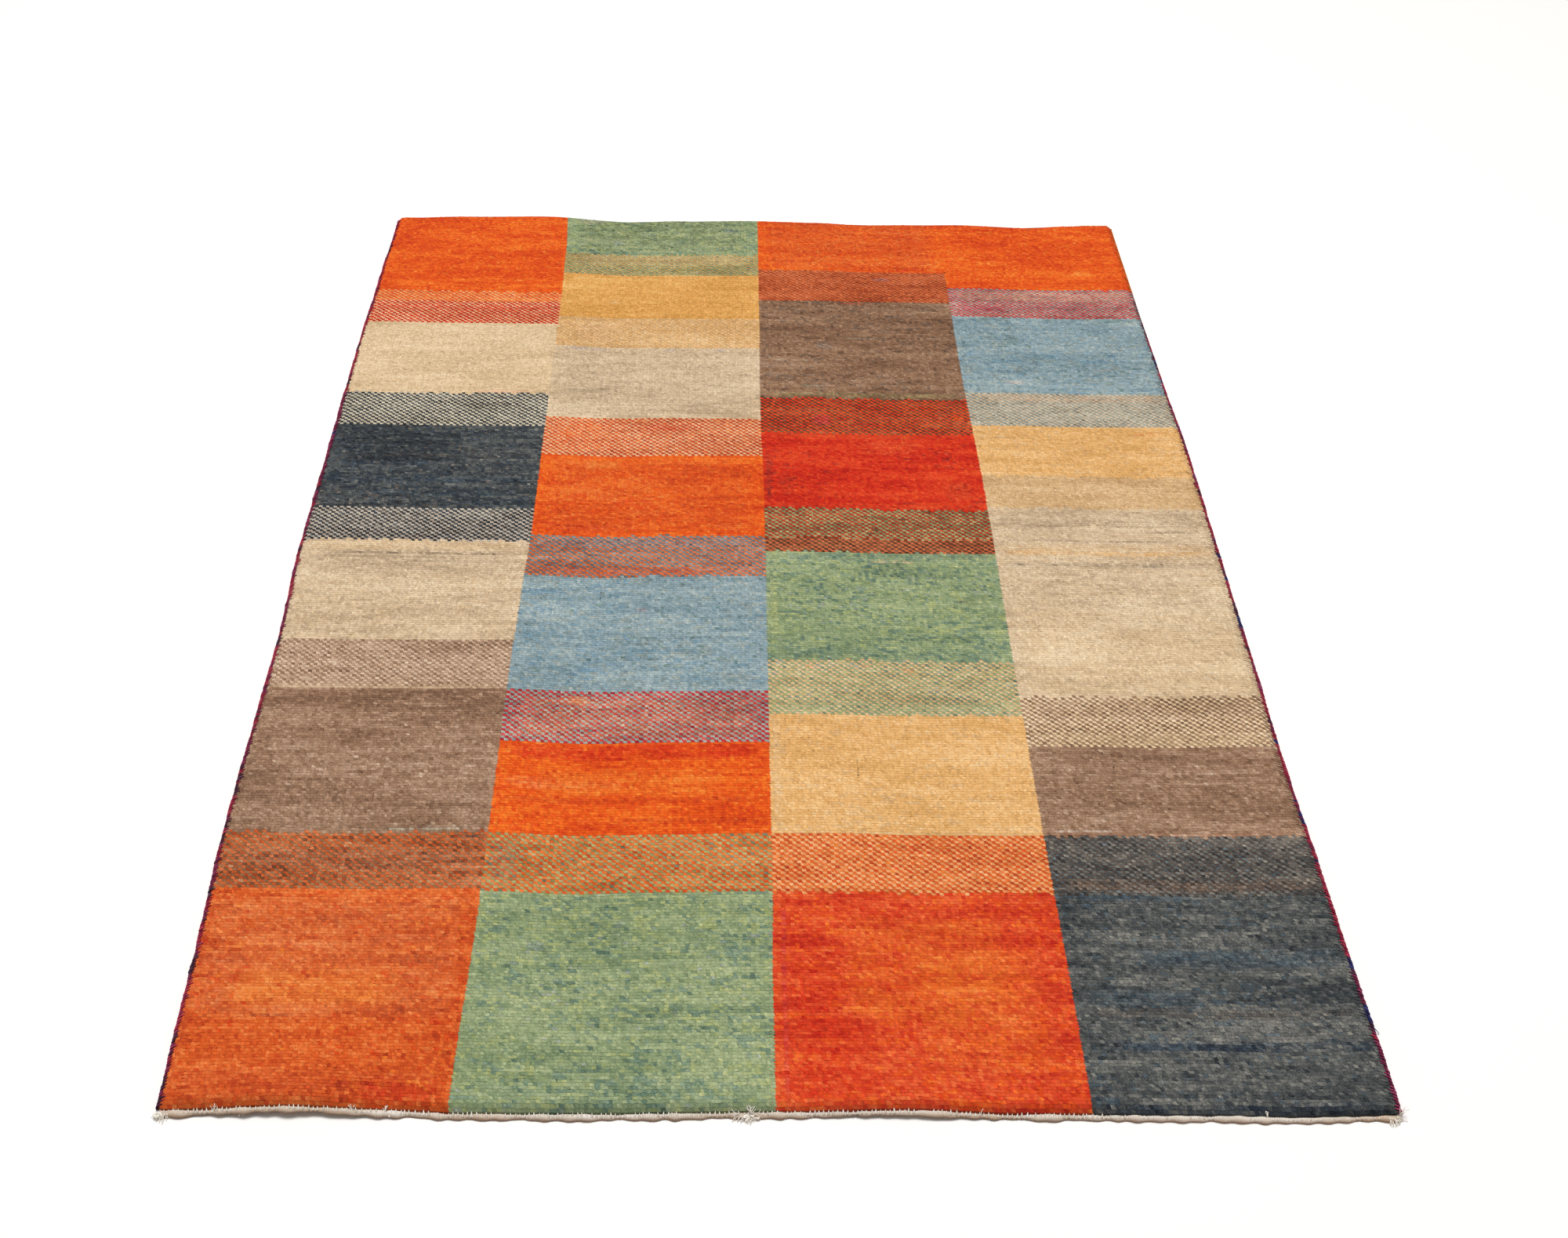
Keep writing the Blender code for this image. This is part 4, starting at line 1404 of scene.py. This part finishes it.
def back_material():
    """The back of the knots: each shows as two small bumps, between lines of weft."""
    tree = Tree("rug_back")
    knots = tree.add("ShaderNodeUVMap", {"uv_map": "knots"}).outputs["UV"]
    apart = tree.add("ShaderNodeSeparateXYZ", Vector=knots)
    knot, row = apart.outputs["X"], apart.outputs["Y"]
    odd = tree.math("MODULO", tree.math("FLOOR", knot), 2.0)
    even_dye = tree.add("ShaderNodeAttribute", {"attribute_name": "dye"}).outputs["Color"]
    odd_dye = tree.add("ShaderNodeAttribute", {"attribute_name": "odd_dye"}).outputs["Color"]
    pair = tree.add("ShaderNodeMix", {"data_type": "VECTOR"}, i0=odd, i4=even_dye, i5=odd_dye).outputs[1]
    place = tree.add("ShaderNodeTexCoord").outputs["Object"]
    noise = tree.add("ShaderNodeTexNoise", Vector=place, Scale=700.0, Detail=3.0).outputs["Fac"]
    bead_x = tree.math("ABSOLUTE", tree.math("SINE", tree.math("MULTIPLY", knot, 2 * math.pi)))
    bead_y = tree.math("ABSOLUTE", tree.math("SINE", tree.math("MULTIPLY", row, math.pi)))
    bead = tree.math("POWER", tree.math("MULTIPLY", bead_x, bead_y), 0.5)
    height = tree.math("ADD", bead, tree.math("MULTIPLY", noise, 0.5))
    weft = tree.math("LESS_THAN", bead_y, 0.30)
    weft_colour = (*linear(np.array(DYES["grey beige"][1]) / 255), )
    laid = tree.add("ShaderNodeMix", {"data_type": "VECTOR"}, i0=weft, i4=pair, i5=weft_colour).outputs[1]
    # painted shade: the colour is drawn darker in the hollows between the knot backs and along the weft
    shade = tree.math("ADD", tree.math("MULTIPLY", height, 0.45), 0.52)
    shaded = tree.add("ShaderNodeVectorMath", {"operation": "SCALE"}, i0=laid, Scale=shade).outputs["Vector"]
    tree.put(tree.shader, "Base Color", shaded)
    relief = tree.add("ShaderNodeBump", Height=height, Strength=0.8, Distance=0.0006).outputs["Normal"]
    tree.put(tree.shader, "Normal", relief)
    return tree.finish(0.95, 0.05)


def floor_material():
    tree = Tree("pale_floor")
    tree.shader.inputs["Base Color"].default_value = FLOOR_COLOUR
    tree.shader.inputs["Roughness"].default_value = 1.0
    tree.shader.inputs["Specular IOR Level"].default_value = 0.0
    return tree.material


# ---------------------------------------------------------------------------------------------
# Scene
# ---------------------------------------------------------------------------------------------

# The camera stands over the near end and a little to the left, tilted as the photograph is
CAMERA_AT = (-0.0707, -1.8273, 1.4964)
CAMERA_PITCH = 41.426
CAMERA_YAW = -3.114
CAMERA_ROLL = -2.589
CAMERA_LENS = 41.4
SENSOR_WIDTH = 36.0

FLOOR_SIZE = 14.0
FLOOR_LEVEL = -0.0003
FLOOR_COLOUR = (0.97, 0.96, 0.945, 1.0)

# A wide soft light high over the rug, and an even, slightly warm sky that fills the shadows
WORLD_LIGHT = 0.32
WORLD_COLOUR = (1.0, 0.965, 0.92, 1.0)
KEY_AT = (-0.3, 0.7, 8.5)
KEY_SIZE = 4.0
KEY_POWER = 615.0


def place_camera():
    pitch, yaw, roll = (math.radians(angle) for angle in (CAMERA_PITCH, CAMERA_YAW, CAMERA_ROLL))
    ahead = Vector((0, math.cos(pitch), -math.sin(pitch)))
    right = Vector((1, 0, 0))
    down = Vector((0, -math.sin(pitch), -math.cos(pitch)))
    turned_right = math.cos(roll) * right + math.sin(roll) * down
    turned_down = -math.sin(roll) * right + math.cos(roll) * down
    turn = Matrix.Rotation(yaw, 3, "Z")
    axes = Matrix((turn @ turned_right, -(turn @ turned_down), -(turn @ ahead))).transposed()
    data = bpy.data.cameras.new("camera")
    data.sensor_fit = "HORIZONTAL"
    data.sensor_width = SENSOR_WIDTH
    data.lens = CAMERA_LENS
    data.clip_end = 60.0
    camera = bpy.data.objects.new("camera", data)
    camera.matrix_world = Matrix.Translation(CAMERA_AT) @ axes.to_4x4()
    bpy.context.scene.collection.objects.link(camera)
    bpy.context.scene.camera = camera


def place_floor():
    half = FLOOR_SIZE / 2
    corners = ((-half, -half), (half, -half), (half, half), (-half, half))
    points = [(x, y, FLOOR_LEVEL) for x, y in corners]
    mesh = bpy.data.meshes.new("floor")
    mesh.from_pydata(points, [], [(0, 1, 2, 3)])
    mesh.materials.append(floor_material())
    floor = bpy.data.objects.new("floor", mesh)
    bpy.context.scene.collection.objects.link(floor)


def place_light(name, at, size, power):
    data = bpy.data.lights.new(name, "AREA")
    data.shape = "DISK"
    data.size = size
    data.energy = power
    light = bpy.data.objects.new(name, data)
    light.location = at
    light.rotation_euler = (-Vector(at)).to_track_quat("-Z", "Y").to_euler()
    bpy.context.scene.collection.objects.link(light)


def light_scene():
    world = bpy.data.worlds.new("studio")
    bpy.context.scene.world = world
    world.use_nodes = True
    background = world.node_tree.nodes["Background"]
    background.inputs["Color"].default_value = WORLD_COLOUR
    background.inputs["Strength"].default_value = WORLD_LIGHT
    place_light("key", KEY_AT, KEY_SIZE, KEY_POWER)
    bpy.context.scene.view_settings.view_transform = "Standard"
    bpy.context.scene.view_settings.look = "None"


def build():
    rng = np.random.default_rng(SEED)
    corners, tips = pile_points(rng)
    colours = knot_colours(rng, tips[..., 0], tips[..., 1])
    materials = {
        "pile": yarn_material("pile_wool"),
        "selvedge": yarn_material("selvedge_wool", fibre=(900.0, 900.0, 900.0)),
        "warp": yarn_material("warp_cotton", fibre=(1100.0, 1100.0, 1100.0)),
    }
    stops = [0]
    for column, count in enumerate(COLUMN_KNOTS):
        first = stops[-1]
        stops += list(first + count * np.arange(1, STRIPS_PER_COLUMN + 1) // STRIPS_PER_COLUMN)
    for k, (start, end) in enumerate(zip(stops, stops[1:])):
        name = f"pile_{k // STRIPS_PER_COLUMN + 1}_{k % STRIPS_PER_COLUMN + 1}"
        pile_strip(rng, name, start, end, corners, tips, colours, materials["pile"])
    ground = foundation(stops, colours, back_material())
    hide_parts("pile_field")
    edges = selvedge(rng, -1, "selvedge_left", materials)
    edges += selvedge(rng, 1, "selvedge_right", materials)
    ends = warp_end(rng, materials)
    place_camera()
    place_floor()
    light_scene()


build()
